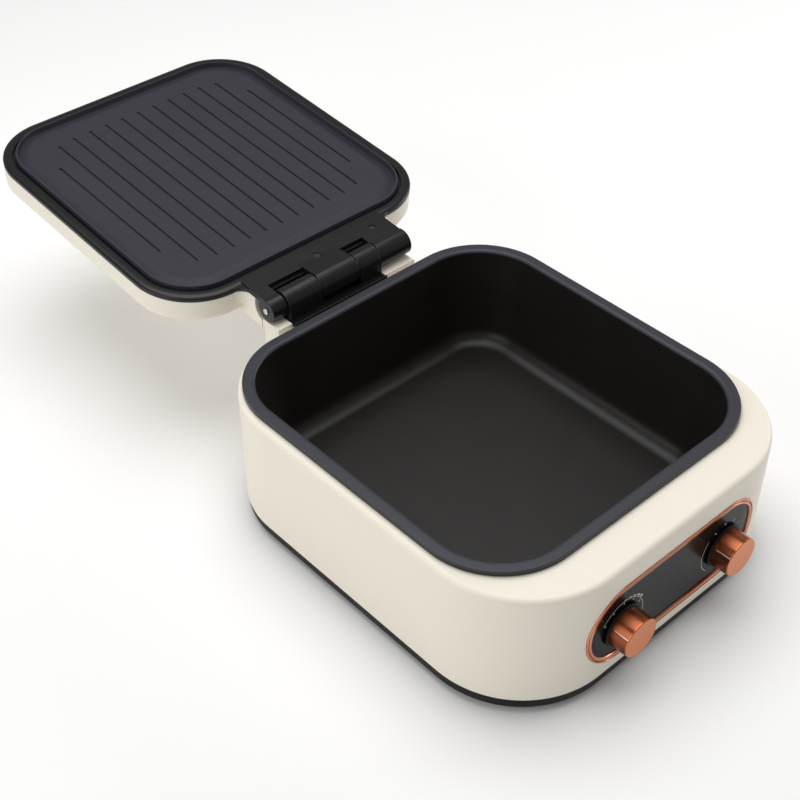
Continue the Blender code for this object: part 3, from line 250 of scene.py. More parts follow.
def soften(bm, width, where=lambda edge: True):
    """Rounds the sharp edges of a bmesh, or those of them that a test picks."""
    sharp = [
        edge for edge in bm.edges
        if edge.is_manifold and edge.calc_face_angle() > math.radians(30) and where(edge)
    ]
    bmesh.ops.bevel(
        bm, geom=sharp, offset=width, segments=3, profile=0.5, affect="EDGES", material=-1
    )
    return bm


def block(low, high):
    bm = bmesh.new()
    bmesh.ops.create_cube(bm, size=1)
    bmesh.ops.scale(bm, vec=Vector(high) - Vector(low), verts=bm.verts)
    bmesh.ops.translate(bm, vec=(Vector(high) + Vector(low)) / 2, verts=bm.verts)
    return bm


def pull_across(left, right, side):
    """A side view of a few (Y, Z) points, pulled from left to right into a solid."""
    bm = bmesh.new()
    face = bm.faces.new([bm.verts.new((left, y, z)) for y, z in side])
    moved = bmesh.ops.extrude_face_region(bm, geom=[face])["geom"]
    verts = [part for part in moved if isinstance(part, bmesh.types.BMVert)]
    bmesh.ops.translate(bm, vec=(right - left, 0, 0), verts=verts)
    bmesh.ops.recalc_face_normals(bm, faces=bm.faces)
    return bm


def make_piece(bm, name, material):
    mesh = bpy.data.meshes.new(name)
    bm.to_mesh(mesh)
    bm.free()
    mesh.materials.append(material)
    piece = bpy.data.objects.new(name, mesh)
    bpy.context.scene.collection.objects.link(piece)
    return piece


def change(piece, tool, operation):
    """Applies a Boolean with the form in a bmesh, and keeps the result as the piece's mesh."""
    mesh = bpy.data.meshes.new("tool")
    tool.to_mesh(mesh)
    tool.free()
    holder = bpy.data.objects.new("tool", mesh)
    bpy.context.scene.collection.objects.link(holder)
    boolean = piece.modifiers.new("boolean", "BOOLEAN")
    boolean.operation = operation
    boolean.solver = "EXACT"
    boolean.object = holder
    solid = piece.evaluated_get(bpy.context.evaluated_depsgraph_get())
    result = bpy.data.meshes.new_from_object(solid)
    piece.modifiers.clear()
    old = piece.data
    piece.data = result
    result.name = piece.name
    bpy.data.objects.remove(holder)
    bpy.data.meshes.remove(mesh)
    bpy.data.meshes.remove(old)


def cut(piece, *tools):
    for tool in tools:
        change(piece, tool, "DIFFERENCE")


def join(piece, *tools):
    for tool in tools:
        change(piece, tool, "UNION")


def close_up(piece, body, slot, *nodes, angle=30):
    """Shades a finished piece smooth between its sharp edges, and fixes it to its body."""
    piece.data.shade_smooth()
    piece.data.set_sharp_from_angle(angle=math.radians(angle))
    even = piece.modifiers.new("even_shading", "WEIGHTED_NORMAL")
    even.keep_sharp = True
    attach(piece, body)
    if nodes:
        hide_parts(*nodes)


cream_plastic, shader, place = start_finish("cream_plastic", specular_ior_level=0.4)
tone = place.noise(9.0, 3.0).tint((0.83, 0.775, 0.665), (0.87, 0.82, 0.715))
tone.feed(shader, "Base Color")
place.noise(160.0).between(0.36, 0.46).feed(shader, "Roughness")
place.noise(2600.0, 1.0).bump(0.22, 0.00006).feed(shader, "Normal")

housing_low, housing_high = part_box("housing_shell")
HOUSING_DEPTH = 0.3135
HOUSING_WALL = 0.0028
HOUSING_FOOT = 0.0133
FRONT_Y = housing_low.y
BACK_Y = FRONT_Y + HOUSING_DEPTH
BOSS_BACK = housing_high.y
HOUSING = Outline(0.138, HOUSING_DEPTH / 2, 0.072, (FRONT_Y + BACK_Y) / 2)
HOUSING_INSIDE = HOUSING.inset(HOUSING_WALL)
RIM = Outline(0.132, 0.139, 0.058, POT_Y)
OPENING = RIM.inset(0.0057)
DECK_TOP = 0.1047
DECK_UNDER = 0.1017
DECK_ROUND = 0.0040
FIT = 0.0003

rows = [(HOUSING.inset(0.0004), HOUSING_FOOT), (HOUSING, HOUSING_FOOT + 0.0004)]
rows += round_rows(HOUSING, DECK_ROUND, DECK_TOP, steps=10)
rows += [(OPENING.inset(-0.0006), DECK_TOP), (OPENING.inset(-0.0002), DECK_TOP - 0.0002)]
rows += [(OPENING, DECK_TOP - 0.0006), (OPENING, DECK_UNDER)]
rows += reversed(round_rows(HOUSING_INSIDE, 0.0042, DECK_UNDER))
rows += [(HOUSING_INSIDE, HOUSING_FOOT)]
housing = make_piece(loft(rows, 28, closed=True), "housing_moulding", cream_plastic)

HINGE_LEFT, LEFT_START, LEFT_END = -0.066, -0.053, -0.022
RIGHT_START, RIGHT_END, HINGE_RIGHT = 0.014, 0.035, 0.065
LEFT_POST_TOP = 0.1084
RIGHT_POST_TOP = 0.1074
BOSS_ROUND = 0.003
BOSS_START = BACK_Y - 0.0014
side = [(BOSS_START, DECK_TOP), (BOSS_BACK, DECK_TOP)]
side += [(BOSS_BACK, DECK_TOP - 0.020), (BOSS_START, DECK_TOP - 0.034)]
boss = pull_across(HINGE_LEFT, HINGE_RIGHT, side)
soften(boss, BOSS_ROUND, lambda edge: (
    min(vert.co.y for vert in edge.verts) > BOSS_START
    and max(vert.co.z for vert in edge.verts) < DECK_TOP
))
soften(boss, BOSS_ROUND, lambda edge: (
    all(vert.co.y > BOSS_BACK - 0.0001 for vert in edge.verts)
    and abs(edge.verts[0].co.z - edge.verts[1].co.z) > 0.01
))
soften(boss, 0.0008, lambda edge: all(
    vert.co.z > DECK_TOP - 0.0001 and vert.co.y > BOSS_START + 0.0001 for vert in edge.verts
))
join(housing, boss)
for left, right, top in (
    (HINGE_LEFT, LEFT_START - FIT, LEFT_POST_TOP), (RIGHT_END + FIT, HINGE_RIGHT, RIGHT_POST_TOP),
):
    post = block((left, BOSS_START, DECK_TOP - 0.0015), (right, BOSS_BACK - FIT, top))
    join(housing, soften(post, 0.001, lambda edge: all(v.co.z > DECK_TOP for v in edge.verts)))

PANEL_RISE = 0.0545
INLET_RISE = 0.038
TRIM = Outline(0.081, 0.0322, 0.0312)
INLET = Outline(0.0125, 0.009, 0.0054)


def face_front(bm):
    """Stands a form on the front wall: drawn flat, its depth along Z, round the panel's middle."""
    turn = Matrix.Translation((0, FRONT_Y, PANEL_RISE)) @ Matrix.Rotation(math.pi / 2, 4, "X")
    bmesh.ops.transform(bm, matrix=turn, verts=bm.verts)
    return bm


def face_back(bm):
    """Stands a form on the back wall: drawn flat, its depth along Z, round the inlet's middle."""
    turn = Matrix.Translation((0, BACK_Y, INLET_RISE)) @ Matrix.Rotation(-math.pi / 2, 4, "X")
    bmesh.ops.transform(bm, matrix=turn, verts=bm.verts)
    return bm


panel_hole = TRIM.inset(-0.0001)
inlet_hole = INLET.inset(-0.0003)
cut(housing, face_front(loft([(panel_hole, -0.008), (panel_hole, 0.002)], 24)))
cut(housing, face_back(loft([(inlet_hole, -0.005), (inlet_hole, 0.002)], 8)))
close_up(housing, "base", "cream_plastic", "housing_shell")

# Bottom cover: black plastic with a sandblasted grain, a band that shows under the housing and a
# floor with vents. Four screws hold it, driven from below, and the rubber feet are pressed into
# pockets.


def cylinder(start, end, radius, steps=64):
    bm = bmesh.new()
    start, end = Vector(start), Vector(end)
    bmesh.ops.create_cone(
        bm, cap_ends=True, segments=steps, radius1=radius, radius2=radius,
        depth=(end - start).length,
    )
    turn = (end - start).to_track_quat("Z", "Y").to_matrix().to_4x4()
    bmesh.ops.transform(bm, matrix=Matrix.Translation((start + end) / 2) @ turn, verts=bm.verts)
    return bm


def upright(x, y, low, high, radius, steps):
    """A cylinder along Z."""
    return cylinder((x, y, low), (x, y, high), radius, steps)


def row_of(forms, places):
    """Several bmeshes as one, each moved along X to its place."""
    whole = bmesh.new()
    for form, x in zip(forms, places):
        bmesh.ops.translate(form, vec=(x, 0, 0), verts=form.verts)
        mesh = bpy.data.meshes.new("form")
        form.to_mesh(mesh)
        form.free()
        whole.from_mesh(mesh)
        bpy.data.meshes.remove(mesh)
    return whole


def turned(profile, middle, steps=64):
    """A profile of (radius, height) points, from pole to pole, spun about an upright axis."""
    bm = bmesh.new()
    verts = [bm.verts.new((radius, 0, height)) for radius, height in profile]
    edges = [bm.edges.new(pair) for pair in zip(verts, verts[1:])]
    bmesh.ops.spin(
        bm, geom=verts + edges, cent=(0, 0, 0), axis=(0, 0, 1), angle=math.tau,
        steps=steps, use_merge=True,
    )
    bmesh.ops.remove_doubles(bm, verts=bm.verts, dist=0.000001)
    bmesh.ops.recalc_face_normals(bm, faces=bm.faces)
    bmesh.ops.translate(bm, vec=middle, verts=bm.verts)
    return bm


black_plastic, shader, place = start_finish("black_plastic", specular_ior_level=0.18)
tone = place.noise(12.0).tint((0.007, 0.0065, 0.006), (0.011, 0.0105, 0.010))
tone.feed(shader, "Base Color")
place.noise(240.0).between(0.40, 0.50).feed(shader, "Roughness")
place.noise(3200.0, 1.0).bump(0.3, 0.00007).feed(shader, "Normal")
rubber, shader, place = start_finish("rubber", specular_ior_level=0.2)
tone = place.noise(90.0).tint((0.018, 0.018, 0.018), (0.027, 0.027, 0.027))
tone.feed(shader, "Base Color")
place.noise(300.0).between(0.72, 0.86).feed(shader, "Roughness")
place.noise(1500.0).bump(0.3, 0.0001).feed(shader, "Normal")
steel, shader, place = start_finish("steel", metallic=1.0)
place.noise(60.0).tint((0.55, 0.55, 0.56), (0.64, 0.64, 0.65)).feed(shader, "Base Color")
place.noise(400.0).between(0.24, 0.36).feed(shader, "Roughness")

COVER = HOUSING.inset(0.0008)
COVER_FOOT = 0.004
COVER_TOP = 0.013
COVER_FLOOR = 0.0065
LIP_TOP = COVER_TOP + 0.004
VENT_COUNT = 7
VENT_PITCH = 0.014
lip = HOUSING_INSIDE.inset(FIT)
rows = list(reversed(round_rows(COVER, 0.003, COVER_FOOT, up=-1)))
rows += [(COVER, COVER_TOP - 0.0003), (COVER.inset(0.0003), COVER_TOP), (lip, COVER_TOP)]
rows += [(lip, LIP_TOP), (lip.inset(0.002), LIP_TOP), (lip.inset(0.002), COVER_FLOOR)]
cover = make_piece(loft(rows, 24), "bottom_band", black_plastic)
vent = Outline(0.002, 0.030, 0.0019, POT_Y)
vent_rows = [(vent, COVER_FOOT - 0.002), (vent, COVER_FLOOR + 0.002)]
places = [(number - (VENT_COUNT - 1) / 2) * VENT_PITCH for number in range(VENT_COUNT)]
cut(cover, row_of([loft(vent_rows, 5) for x in places], places))

for corner in ("front_left", "front_right", "back_left", "back_right"):
    node = "foot_" + corner
    x, y, _ = middle_of(node)
    cut(cover, upright(x, y, 0.002, 0.0058, 0.0103, 48))
    profile = [(0, 0.0005), (0.0060, 0.0005), (0.0066, 0), (0.009, 0), (0.0097, 0.0003)]
    profile += [(0.010, 0.001), (0.010, 0.0055), (0, 0.0055)]
    pad = make_piece(turned(profile, (x, y, 0)), node + "_pad", rubber)
    close_up(pad, "base", "rubber", node)
for number in range(1, 5):
    node = f"cover_screw_{number}"
    x, y, _ = middle_of(node)
    join(cover, upright(x, y, 0.00525, 0.0117, 0.006, 40))
    cut(cover, upright(x, y, 0.002, 0.00555, 0.0038, 40), upright(x, y, 0.004, 0.014, 0.0021, 24))
    profile = [(0, 0.004), (0.0022, 0.0041), (0.0031, 0.0044), (0.0035, 0.0049)]
    profile += [(0.0035, 0.00525), (0.0018, 0.00525), (0.0018, 0.0115)]
    profile += [(0.0014, 0.012), (0, 0.012)]
    screw = make_piece(turned(profile, (x, y, 0), 40), node + "_head", steel)
    cut(screw, block((x - 0.0019, y - 0.0004, 0.003), (x + 0.0019, y + 0.0004, 0.0049)))
    cut(screw, block((x - 0.0004, y - 0.0019, 0.003), (x + 0.0004, y + 0.0019, 0.0049)))
    close_up(screw, "base", "steel", node)
close_up(cover, "base", "black_plastic", "bottom_cover")

# Control panel: a rose copper frame with a line round its middle, and a gloss charcoal plate inside
# it, both bowed as the front wall is. The knobs' scales are printed on the plate in cream.
frame_copper, shader, place = start_finish("frame_copper", metallic=1.0)
tone = place.noise(50.0).tint((0.57, 0.245, 0.145), (0.63, 0.275, 0.165))
tone.feed(shader, "Base Color")
place.noise(300.0).between(0.22, 0.28).feed(shader, "Roughness")
gloss, shader, place = start_finish("gloss_charcoal", specular_ior_level=0.12)
tone = place.noise(30.0).tint((0.005, 0.0054, 0.006), (0.008, 0.0085, 0.0094))
tone.feed(shader, "Base Color")
place.noise(60.0).between(0.20, 0.27).feed(shader, "Roughness")
ink, shader, place = start_finish("cream_ink", roughness=0.5)
place.noise(900.0).tint((0.62, 0.57, 0.44), (0.74, 0.69, 0.56)).feed(shader, "Base Color")

FLAT_HALF = HOUSING.half_x - HOUSING.corner
PANEL_FACE = -0.0006
PANEL_BACK = -0.0026
TRIM_FACE = 0.0008
LINE_FOOT = -0.0002


def bow(bm):
    """Sets every point back by as much as the wall falls away towards the housing's corners."""
    for vert in bm.verts:
        past = max(0, abs(vert.co.x) - FLAT_HALF)
        vert.co.y += HOUSING.corner - math.sqrt(HOUSING.corner**2 - past**2)
    return bm


rows = [(TRIM, PANEL_BACK), (TRIM, 0.0003)]
rows += [(TRIM.inset(inset), height) for inset, height in (
    (0.0002, 0.0006), (0.0005, TRIM_FACE), (0.0010, TRIM_FACE), (0.0012, 0.0005),
    (0.0014, LINE_FOOT), (0.0018, LINE_FOOT), (0.0020, 0.0005), (0.0022, TRIM_FACE),
    (0.0034, TRIM_FACE), (0.0039, 0.0004), (0.0042, PANEL_FACE + 0.0001),
    (0.003, PANEL_FACE + 0.0001), (0.003, PANEL_BACK),
)]
trim = make_piece(bow(face_front(loft(rows, 28, closed=True))), "panel_frame", frame_copper)
close_up(trim, "base", "rose_copper", "control_trim", angle=50)

KNOB_SPACING = 0.0495
KNOB_Z = 0.0505
BOW_STEP = 0.002
edge = TRIM.inset(0.0032)
rows = [(edge.inset(0.0003), PANEL_FACE), (edge, PANEL_FACE - 0.0003), (edge, PANEL_BACK)]
plate = loft(rows, 28)
for side in (-1, 1):
    for step in range(7):
        bmesh.ops.bisect_plane(
            plate, geom=plate.verts[:] + plate.edges[:] + plate.faces[:],
            plane_co=(side * (FLAT_HALF + BOW_STEP * step), 0, 0), plane_no=(1, 0, 0),
        )
panel = make_piece(bow(face_front(plate)), "panel_plate", gloss)
for x in (-KNOB_SPACING, KNOB_SPACING):
    cut(panel, cylinder((x, FRONT_Y - 0.002, KNOB_Z), (x, FRONT_Y + 0.006, KNOB_Z), 0.0049, 40))
close_up(panel, "base", "gloss_black", "control_panel")


def print_arc(knob_x, inner, outer, start, end):
    """An arc printed on the plate round a knob, in degrees clockwise from its left side."""
    bm = bmesh.new()
    verts = [bm.verts.new((-radius, 0, 0)) for radius in (inner, outer)]
    edge = bm.edges.new(verts)
    turn = Matrix.Rotation(-math.radians(start), 3, "Z")
    bmesh.ops.rotate(bm, verts=verts, cent=(0, 0, 0), matrix=turn)
    bmesh.ops.spin(
        bm, geom=verts + [edge], cent=(0, 0, 0), axis=(0, 0, 1),
        angle=-math.radians(end - start), steps=max(1, round(abs(end - start) / 5)),
    )
    bmesh.ops.recalc_face_normals(bm, faces=bm.faces)
    if bm.faces[:][0].normal.z < 0:
        bmesh.ops.reverse_faces(bm, faces=bm.faces)
    bmesh.ops.solidify(bm, geom=bm.faces[:], thickness=0.00004)
    place = (knob_x, KNOB_Z - PANEL_RISE, PANEL_FACE + 0.00003)
    bmesh.ops.translate(bm, vec=place, verts=bm.verts)
    return bow(face_front(bm))


left_marks = [(0.0200, 0.0204, 30, 210)]
left_marks += [(0.0176, 0.0192, 30 * k - 1.2, 30 * k + 1.2) for k in range(1, 8)]
left_marks += [(0.0208, 0.0213 + 0.0003 * k, 90 + 12 * k, 97 + 12 * k) for k in range(5)]
right_marks = [(0.0200, 0.0204, -50, 40)]
right_marks += [(0.0180, 0.0200, 30 * k - 1.2, 30 * k + 1.2) for k in range(2, 9)]
for name, side, marks in (("left", -1, left_marks), ("right", 1, right_marks)):
    for number, mark in enumerate(marks, 1):
        arc = print_arc(side * KNOB_SPACING, *mark)
        close_up(make_piece(arc, f"mark_{name}_{number}", ink), "base", "gloss_black")

# Knobs: moulded plastic plated in rose copper, with a fine edge round the face and a line that
# shows the setting. The copper is painted darker down the side, as painted shade and painted dark
# reflection.
# Each is pressed on its switch's steel spindle, behind a black collar.
KNOB_RADIUS = 0.0148
KNOB_BACK = 0.0006
KNOB_FRONT = 0.0156
POINTER_ANGLE = 30
SIDE_SHADE_START = FRONT_Y - KNOB_FRONT + 0.0005
SIDE_SHADE_FADE = 0.0007

knob_copper, shader, place = start_finish("knob_copper", metallic=1.0)
on_face = place.noise(50.0).tint((0.57, 0.175, 0.060), (0.63, 0.200, 0.073))
# Painted shade: the side's base colour fades to a darker copper, standing in for the shade and dark
# reflections down the side.
painted_side_shade = (place.along("Y") - SIDE_SHADE_START) * (1 / SIDE_SHADE_FADE)
painted_side_shade.tint(on_face, (0.29, 0.090, 0.042)).feed(shader, "Base Color")
place.noise(300.0).between(0.22, 0.28).feed(shader, "Roughness")
knob_ink, shader, place = start_finish("pointer_line", metallic=0.6)
place.noise(900.0).tint((0.80, 0.62, 0.50), (0.88, 0.72, 0.60)).feed(shader, "Base Color")
place.noise(500.0).between(0.3, 0.4).feed(shader, "Roughness")


def dress(material, *nodes):
    """Gives CAD nodes that stay their finish."""
    for node in nodes:
        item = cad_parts[node]
        item.data.materials.clear()
        item.data.materials.append(material)


for name, side in (("left", -1), ("right", 1)):
    x = side * KNOB_SPACING
    on_wall = Matrix.Translation((x, FRONT_Y, KNOB_Z)) @ Matrix.Rotation(math.pi / 2, 4, "X")
    at_mark = on_wall @ Matrix.Rotation(-math.radians(POINTER_ANGLE), 4, "Z")
    profile = [(0, KNOB_FRONT - 0.00015), (0.0125, KNOB_FRONT - 0.00015), (0.0129, KNOB_FRONT)]
    profile += [(0.0134, KNOB_FRONT), (0.0139, KNOB_FRONT - 0.00012)]
    profile += [(0.0142, KNOB_FRONT - 0.0005), (0.01425, KNOB_FRONT - 0.0009)]
    profile += [(KNOB_RADIUS, 0.0026), (KNOB_RADIUS, 0.0022), (0, 0.0022)]
    cap = turned(profile, (0, 0, 0), 96)
    profile = [(0.0050, 0.0021), (0.0158, 0.0021), (0.0163, 0.0017), (0.0163, 0.0008)]
    profile += [(0.0161, KNOB_BACK), (0.0050, KNOB_BACK), (0.0050, 0.0021)]
    collar = turned(profile, (0, 0, 0), 96)
    groove = block((-0.0168, -0.00045, 0.0038), (-0.0137, 0.00045, 0.0154))
    line = soften(block((-0.0145, -0.0004, 0.0039), (-0.0136, 0.0004, 0.0150)), 0.0001)
    for form, matrix in ((cap, on_wall), (collar, on_wall), (groove, at_mark), (line, at_mark)):
        bmesh.ops.transform(form, matrix=matrix, verts=form.verts)
    knob = make_piece(cap, f"knob_{name}_cap", knob_copper)
    cut(knob, cylinder((x, FRONT_Y + 0.002, KNOB_Z), (x, FRONT_Y - 0.0109, KNOB_Z), 0.0033, 32))
    cut(knob, groove)
    line = make_piece(line, f"knob_{name}_line", knob_ink)
    collar = make_piece(collar, f"knob_{name}_collar", black_plastic)
    close_up(knob, f"{name}_knob", "rose_copper", f"knob_{name}")
    close_up(line, f"{name}_knob", "rose_copper")
    close_up(collar, f"{name}_knob", "rose_copper")
dress(steel, "spindle_left", "spindle_right")
dress(black_plastic, "switch_left", "switch_right")

# Well, heater and sensor: a drawn steel well, a cast aluminium plate with its element sunk in from
# below, and a sprung sensor in the middle that feels the pot's floor. All of it is under the pot.
cast, shader, place = start_finish("cast_aluminium", metallic=1.0)
place.noise(120.0).tint((0.42, 0.42, 0.43), (0.52, 0.52, 0.53)).feed(shader, "Base Color")
place.noise(500.0).between(0.42, 0.6).feed(shader, "Roughness")
place.noise(1800.0).bump(0.4, 0.0001).feed(shader, "Normal")
dress(steel, "pot_well", "heating_element", "sensor_guide", "thermal_fuse")
dress(cast, "heater_plate", "temperature_sensor")

# Inner pot: drawn aluminium under a dark non-stick coating, with a flat rim that lies on the deck.
# It is loose, and lifts straight out.
RIM_TOP = 0.109
RIM_UNDER = 0.105
RIM_TONE_START = 0.1068
POT_FLOOR = 0.030
POT_SHEET = 0.0025

pot_coat, shader, place = start_finish("pot_coating", specular_ior_level=0.3)
inside = place.noise(40.0).tint((0.008, 0.0065, 0.0055), (0.013, 0.011, 0.010))
on_rim = place.along("Z") > RIM_TONE_START
on_rim.tint(inside, (0.034, 0.035, 0.045)).feed(shader, "Base Color")
place.noise(300.0).between(0.34, 0.42).feed(shader, "Roughness")
place.noise(2600.0, 1.0).bump(0.2, 0.00006).feed(shader, "Normal")

outer = RIM.inset(0.0065)
foot = outer.inset(0.010)
rows = list(reversed(round_rows(foot, 0.016, POT_FLOOR, up=-1, steps=10)))
rows += [(outer, 0.1045), (outer.inset(-0.0005), RIM_UNDER), (RIM.inset(0.0006), RIM_UNDER)]
rows += [(RIM.inset(0.0002), 0.1052), (RIM, 0.1056), (RIM, RIM_TOP - 0.0009)]
rows += [(RIM.inset(0.0003), RIM_TOP - 0.0002), (RIM.inset(0.0008), RIM_TOP)]
for step in range(9):
    angle = step * math.pi / 2 / 8
    inset = 0.006 + 0.003 * math.sin(angle)
    rows.append((RIM.inset(inset), RIM_TOP - 0.002 * (1 - math.cos(angle))))
rows += round_rows(foot.inset(POT_SHEET), 0.0135, POT_FLOOR + POT_SHEET, up=-1, steps=10)
close_up(make_piece(loft(rows, 24), "pot", pot_coat), "pot", "pot_coating", "inner_pot")

# Mains inlet: a black socket screwed into the back wall, with two brass pins inside. A sleeve of
# wires runs from it under the well to the switches.
brass, shader, place = start_finish("brass", metallic=1.0)
place.noise(200.0).tint((0.62, 0.43, 0.19), (0.72, 0.52, 0.25)).feed(shader, "Base Color")
place.noise(500.0).between(0.22, 0.34).feed(shader, "Roughness")
sleeve, shader, place = start_finish("wire_sleeve")
place.noise(900.0).tint((0.40, 0.39, 0.36), (0.55, 0.54, 0.50)).feed(shader, "Base Color")
place.noise(400.0).between(0.7, 0.85).feed(shader, "Roughness")
PIN_RADIUS = 0.0012

rows = [(INLET, -0.0080), (INLET, FIT), (INLET.inset(-0.0028), FIT), (INLET.inset(-0.003), 0.0005)]
rows += [(INLET.inset(-0.003), 0.0014), (INLET.inset(-0.0026), 0.0018)]
rows += [(INLET.inset(0.0021), 0.0018), (INLET.inset(0.0025), 0.0014)]
rows += [(INLET.inset(0.0025), -0.0067)]
inlet = make_piece(face_back(loft(rows, 8)), "mains_inlet", black_plastic)
close_up(inlet, "base", "black_plastic", "power_inlet")
for name in ("left", "right"):
    node = f"inlet_pin_{name}"
    low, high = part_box(node)
    x = middle_of(node)[0]
    pin = cylinder((x, low.y, INLET_RISE), (x, high.y, INLET_RISE), PIN_RADIUS, 24)
    soften(pin, 0.0004, lambda edge: edge.verts[0].co.y > high.y - 0.0001)
    close_up(make_piece(pin, f"pin_{name}", brass), "base", "brass", node)
dress(sleeve, "wiring_loom")

# Hinge on the base: one black moulding with a ledge on the deck, two knuckles and a trough between
# them for the lid's middle knuckle. A steel pin runs through all five knuckles.
hinge_plastic, shader, place = start_finish("hinge_plastic", specular_ior_level=0.32)
tone = place.noise(25.0).tint((0.006, 0.006, 0.0068), (0.009, 0.009, 0.0100))
tone.feed(shader, "Base Color")
place.noise(240.0).between(0.26, 0.33).feed(shader, "Roughness")
place.noise(3200.0, 1.0).bump(0.2, 0.00005).feed(shader, "Normal")

HINGE_Y = POT_Y + 0.157
HINGE_Z = 0.118
BLOCK_RADIUS = 0.0105
BORE_RADIUS = 0.0028
KNUCKLE_ROUND = 0.0007
LEDGE_FOOT = DECK_TOP + FIT
LEDGE_TOP = LEDGE_FOOT + 0.0028
LEDGE_FRONT = POT_Y + 0.1405
LEDGE_BACK = BOSS_BACK - FIT
LEDGE_ROUND = 0.0004


def along_pin(start, end, radius, steps=72):
    """A cylinder round the hinge pin's axis, from one X to another."""
    return cylinder((start, HINGE_Y, HINGE_Z), (end, HINGE_Y, HINGE_Z), radius, steps)


def take_form(piece):
    """The mesh of a scratch piece as a bmesh. The piece goes."""
    form = bmesh.new()
    form.from_mesh(piece.data)
    bpy.data.objects.remove(piece)
    return form


left, right = LEFT_START + FIT, RIGHT_END - FIT
ledge = block((left, LEDGE_FRONT, LEDGE_FOOT), (right, LEDGE_BACK, LEDGE_TOP))
bracket = make_piece(soften(ledge, LEDGE_ROUND), "hinge_bracket_body", hinge_plastic)
lip_low = (left, LEDGE_FRONT, LEDGE_FOOT + 0.001)
lip_high = (right, LEDGE_FRONT + 0.0016, LEDGE_TOP + 0.0011)
join(bracket, soften(block(lip_low, lip_high), LEDGE_ROUND))
for start, end in ((left + 0.0002, LEFT_END - 0.0002), (RIGHT_START + 0.0002, right - 0.0002)):
    knuckle = soften(along_pin(start, end, BLOCK_RADIUS), KNUCKLE_ROUND)
    knuckle = make_piece(knuckle, "knuckle", hinge_plastic)
    web_low = (start, HINGE_Y - BLOCK_RADIUS, LEDGE_TOP - 0.0011)
    web = block(web_low, (end, BOSS_BACK - 0.0016, HINGE_Z))
    soften(web, 0.0006, lambda edge: abs(edge.verts[0].co.x - edge.verts[1].co.x) < 0.001)
    join(knuckle, web)
    join(bracket, take_form(knuckle))
cut(bracket, along_pin(LEFT_END - 0.0001, RIGHT_START + 0.0001, BLOCK_RADIUS + 0.0007))
cut(bracket, along_pin(HINGE_LEFT, HINGE_RIGHT, BORE_RADIUS, 40))
close_up(bracket, "base", "black_plastic", "hinge_bracket")
low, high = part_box("hinge_pin")
rod = make_piece(soften(along_pin(low.x, high.x, 0.0025, 40), 0.0006), "hinge_rod", steel)
close_up(rod, "base", "steel", "hinge_pin")

# Lid shell: the cream moulding that is the lid's outside, with a tongue over the hinge. The lid's
# pieces are made closed, and then swung back about the hinge pin to the open rest pose.
OPEN_ANGLE = -175.3
LID = RIM.inset(0.008)
LID_BASE = 0.1095
LID_TOP = LID_BASE + 0.026
LID_EDGE = POT_Y + 0.131
SHELL_FOOT = LID_BASE + 0.0043
SHELL_WALL = 0.0025
SHELL_HINGE_RADIUS = 0.0128
CORNER_RADIUS = 0.008


def corner_fillets(low, high):
    """Rounds for the two corners where the hinge tab or tongue leaves the lid's back edge."""
    found = []
    for x, way in ((HINGE_LEFT, -1), (HINGE_RIGHT, 1)):
        ends = (x - way * 0.002, x + way * CORNER_RADIUS)
        near = (min(ends), LID_EDGE - 0.002, low)
        fillet = block(near, (max(ends), LID_EDGE + CORNER_RADIUS, high))
        holder = make_piece(fillet, "fillet", black_plastic)
        corner = (x + way * CORNER_RADIUS, LID_EDGE + CORNER_RADIUS)
        cut(holder, upright(*corner, low - 0.001, high + 0.001, CORNER_RADIUS, 64))
        found.append(take_form(holder))
    return found


swing = Matrix.Rotation(math.radians(OPEN_ANGLE), 4, "X")
to_pin = Matrix.Translation((0, HINGE_Y, HINGE_Z))
from_pin = Matrix.Translation((0, -HINGE_Y, -HINGE_Z))
OPEN_LID = to_pin @ swing @ from_pin
inner = LID.inset(SHELL_WALL)
rows = [(LID.inset(0.045), LID_TOP + 0.0012), (LID.inset(0.025), LID_TOP + 0.0008)]
rows += reversed(round_rows(LID, 0.010, LID_TOP, steps=10))
rows += [(LID, SHELL_FOOT + 0.0003), (LID.inset(0.0003), SHELL_FOOT), (inner, SHELL_FOOT)]
rows += round_rows(inner, 0.0075, LID_TOP - SHELL_WALL)
rows += [(LID.inset(0.045), LID_TOP - 0.0013)]
shell = make_piece(loft(rows, 28), "lid_top", cream_plastic)
start = LID_EDGE - 0.00125
side = [(start, SHELL_FOOT), (HINGE_Y - 0.005, SHELL_FOOT), (HINGE_Y - 0.005, LID_TOP)]
side += [(start - 0.010, LID_TOP), (start - 0.010, LID_TOP - 0.00125), (start, LID_TOP - 0.010)]
join(shell, pull_across(HINGE_LEFT, HINGE_RIGHT, side))
hollow_low = (HINGE_LEFT + SHELL_WALL, start - 0.0025, SHELL_FOOT - 0.002)
hollow_high = (HINGE_RIGHT - SHELL_WALL, HINGE_Y - 0.0148, LID_TOP - SHELL_WALL)
cut(shell, block(hollow_low, hollow_high))
cut(shell, along_pin(HINGE_LEFT - 0.002, HINGE_RIGHT + 0.002, SHELL_HINGE_RADIUS, 96))
join(shell, *corner_fillets(SHELL_FOOT + 0.0003, LID_TOP - 0.0103))
shell.data.transform(OPEN_LID)
close_up(shell, "lid", "cream_plastic", "lid_shell")

# Lid liner: the black flange round the grill plate, with the hinge tab, its two slots for the
# base's knuckles and the lid's own three knuckles. Two screws through the tab hold it to the
# shell's tongue.
dark_steel, shader, place = start_finish("blackened_steel", metallic=1.0)
place.noise(300.0).tint((0.035, 0.035, 0.036), (0.06, 0.06, 0.062)).feed(shader, "Base Color")
place.noise(500.0).between(0.4, 0.5).feed(shader, "Roughness")
LINER_BACK = LID_BASE + 0.004
PLATE_BACK = 0.1130
PLATE_SEAT = PLATE_BACK + FIT
SLOT_REACH = 0.0139
SLOT_FOOT = LID_BASE - 0.0105
SLOT_MARGIN = 0.0006
SHADE_APRON_RADII = (0.0114, 0.0119)
RAMP_END = 0.003
TAB_SCREW_Y = HINGE_Y - 0.0155 - 0.0028

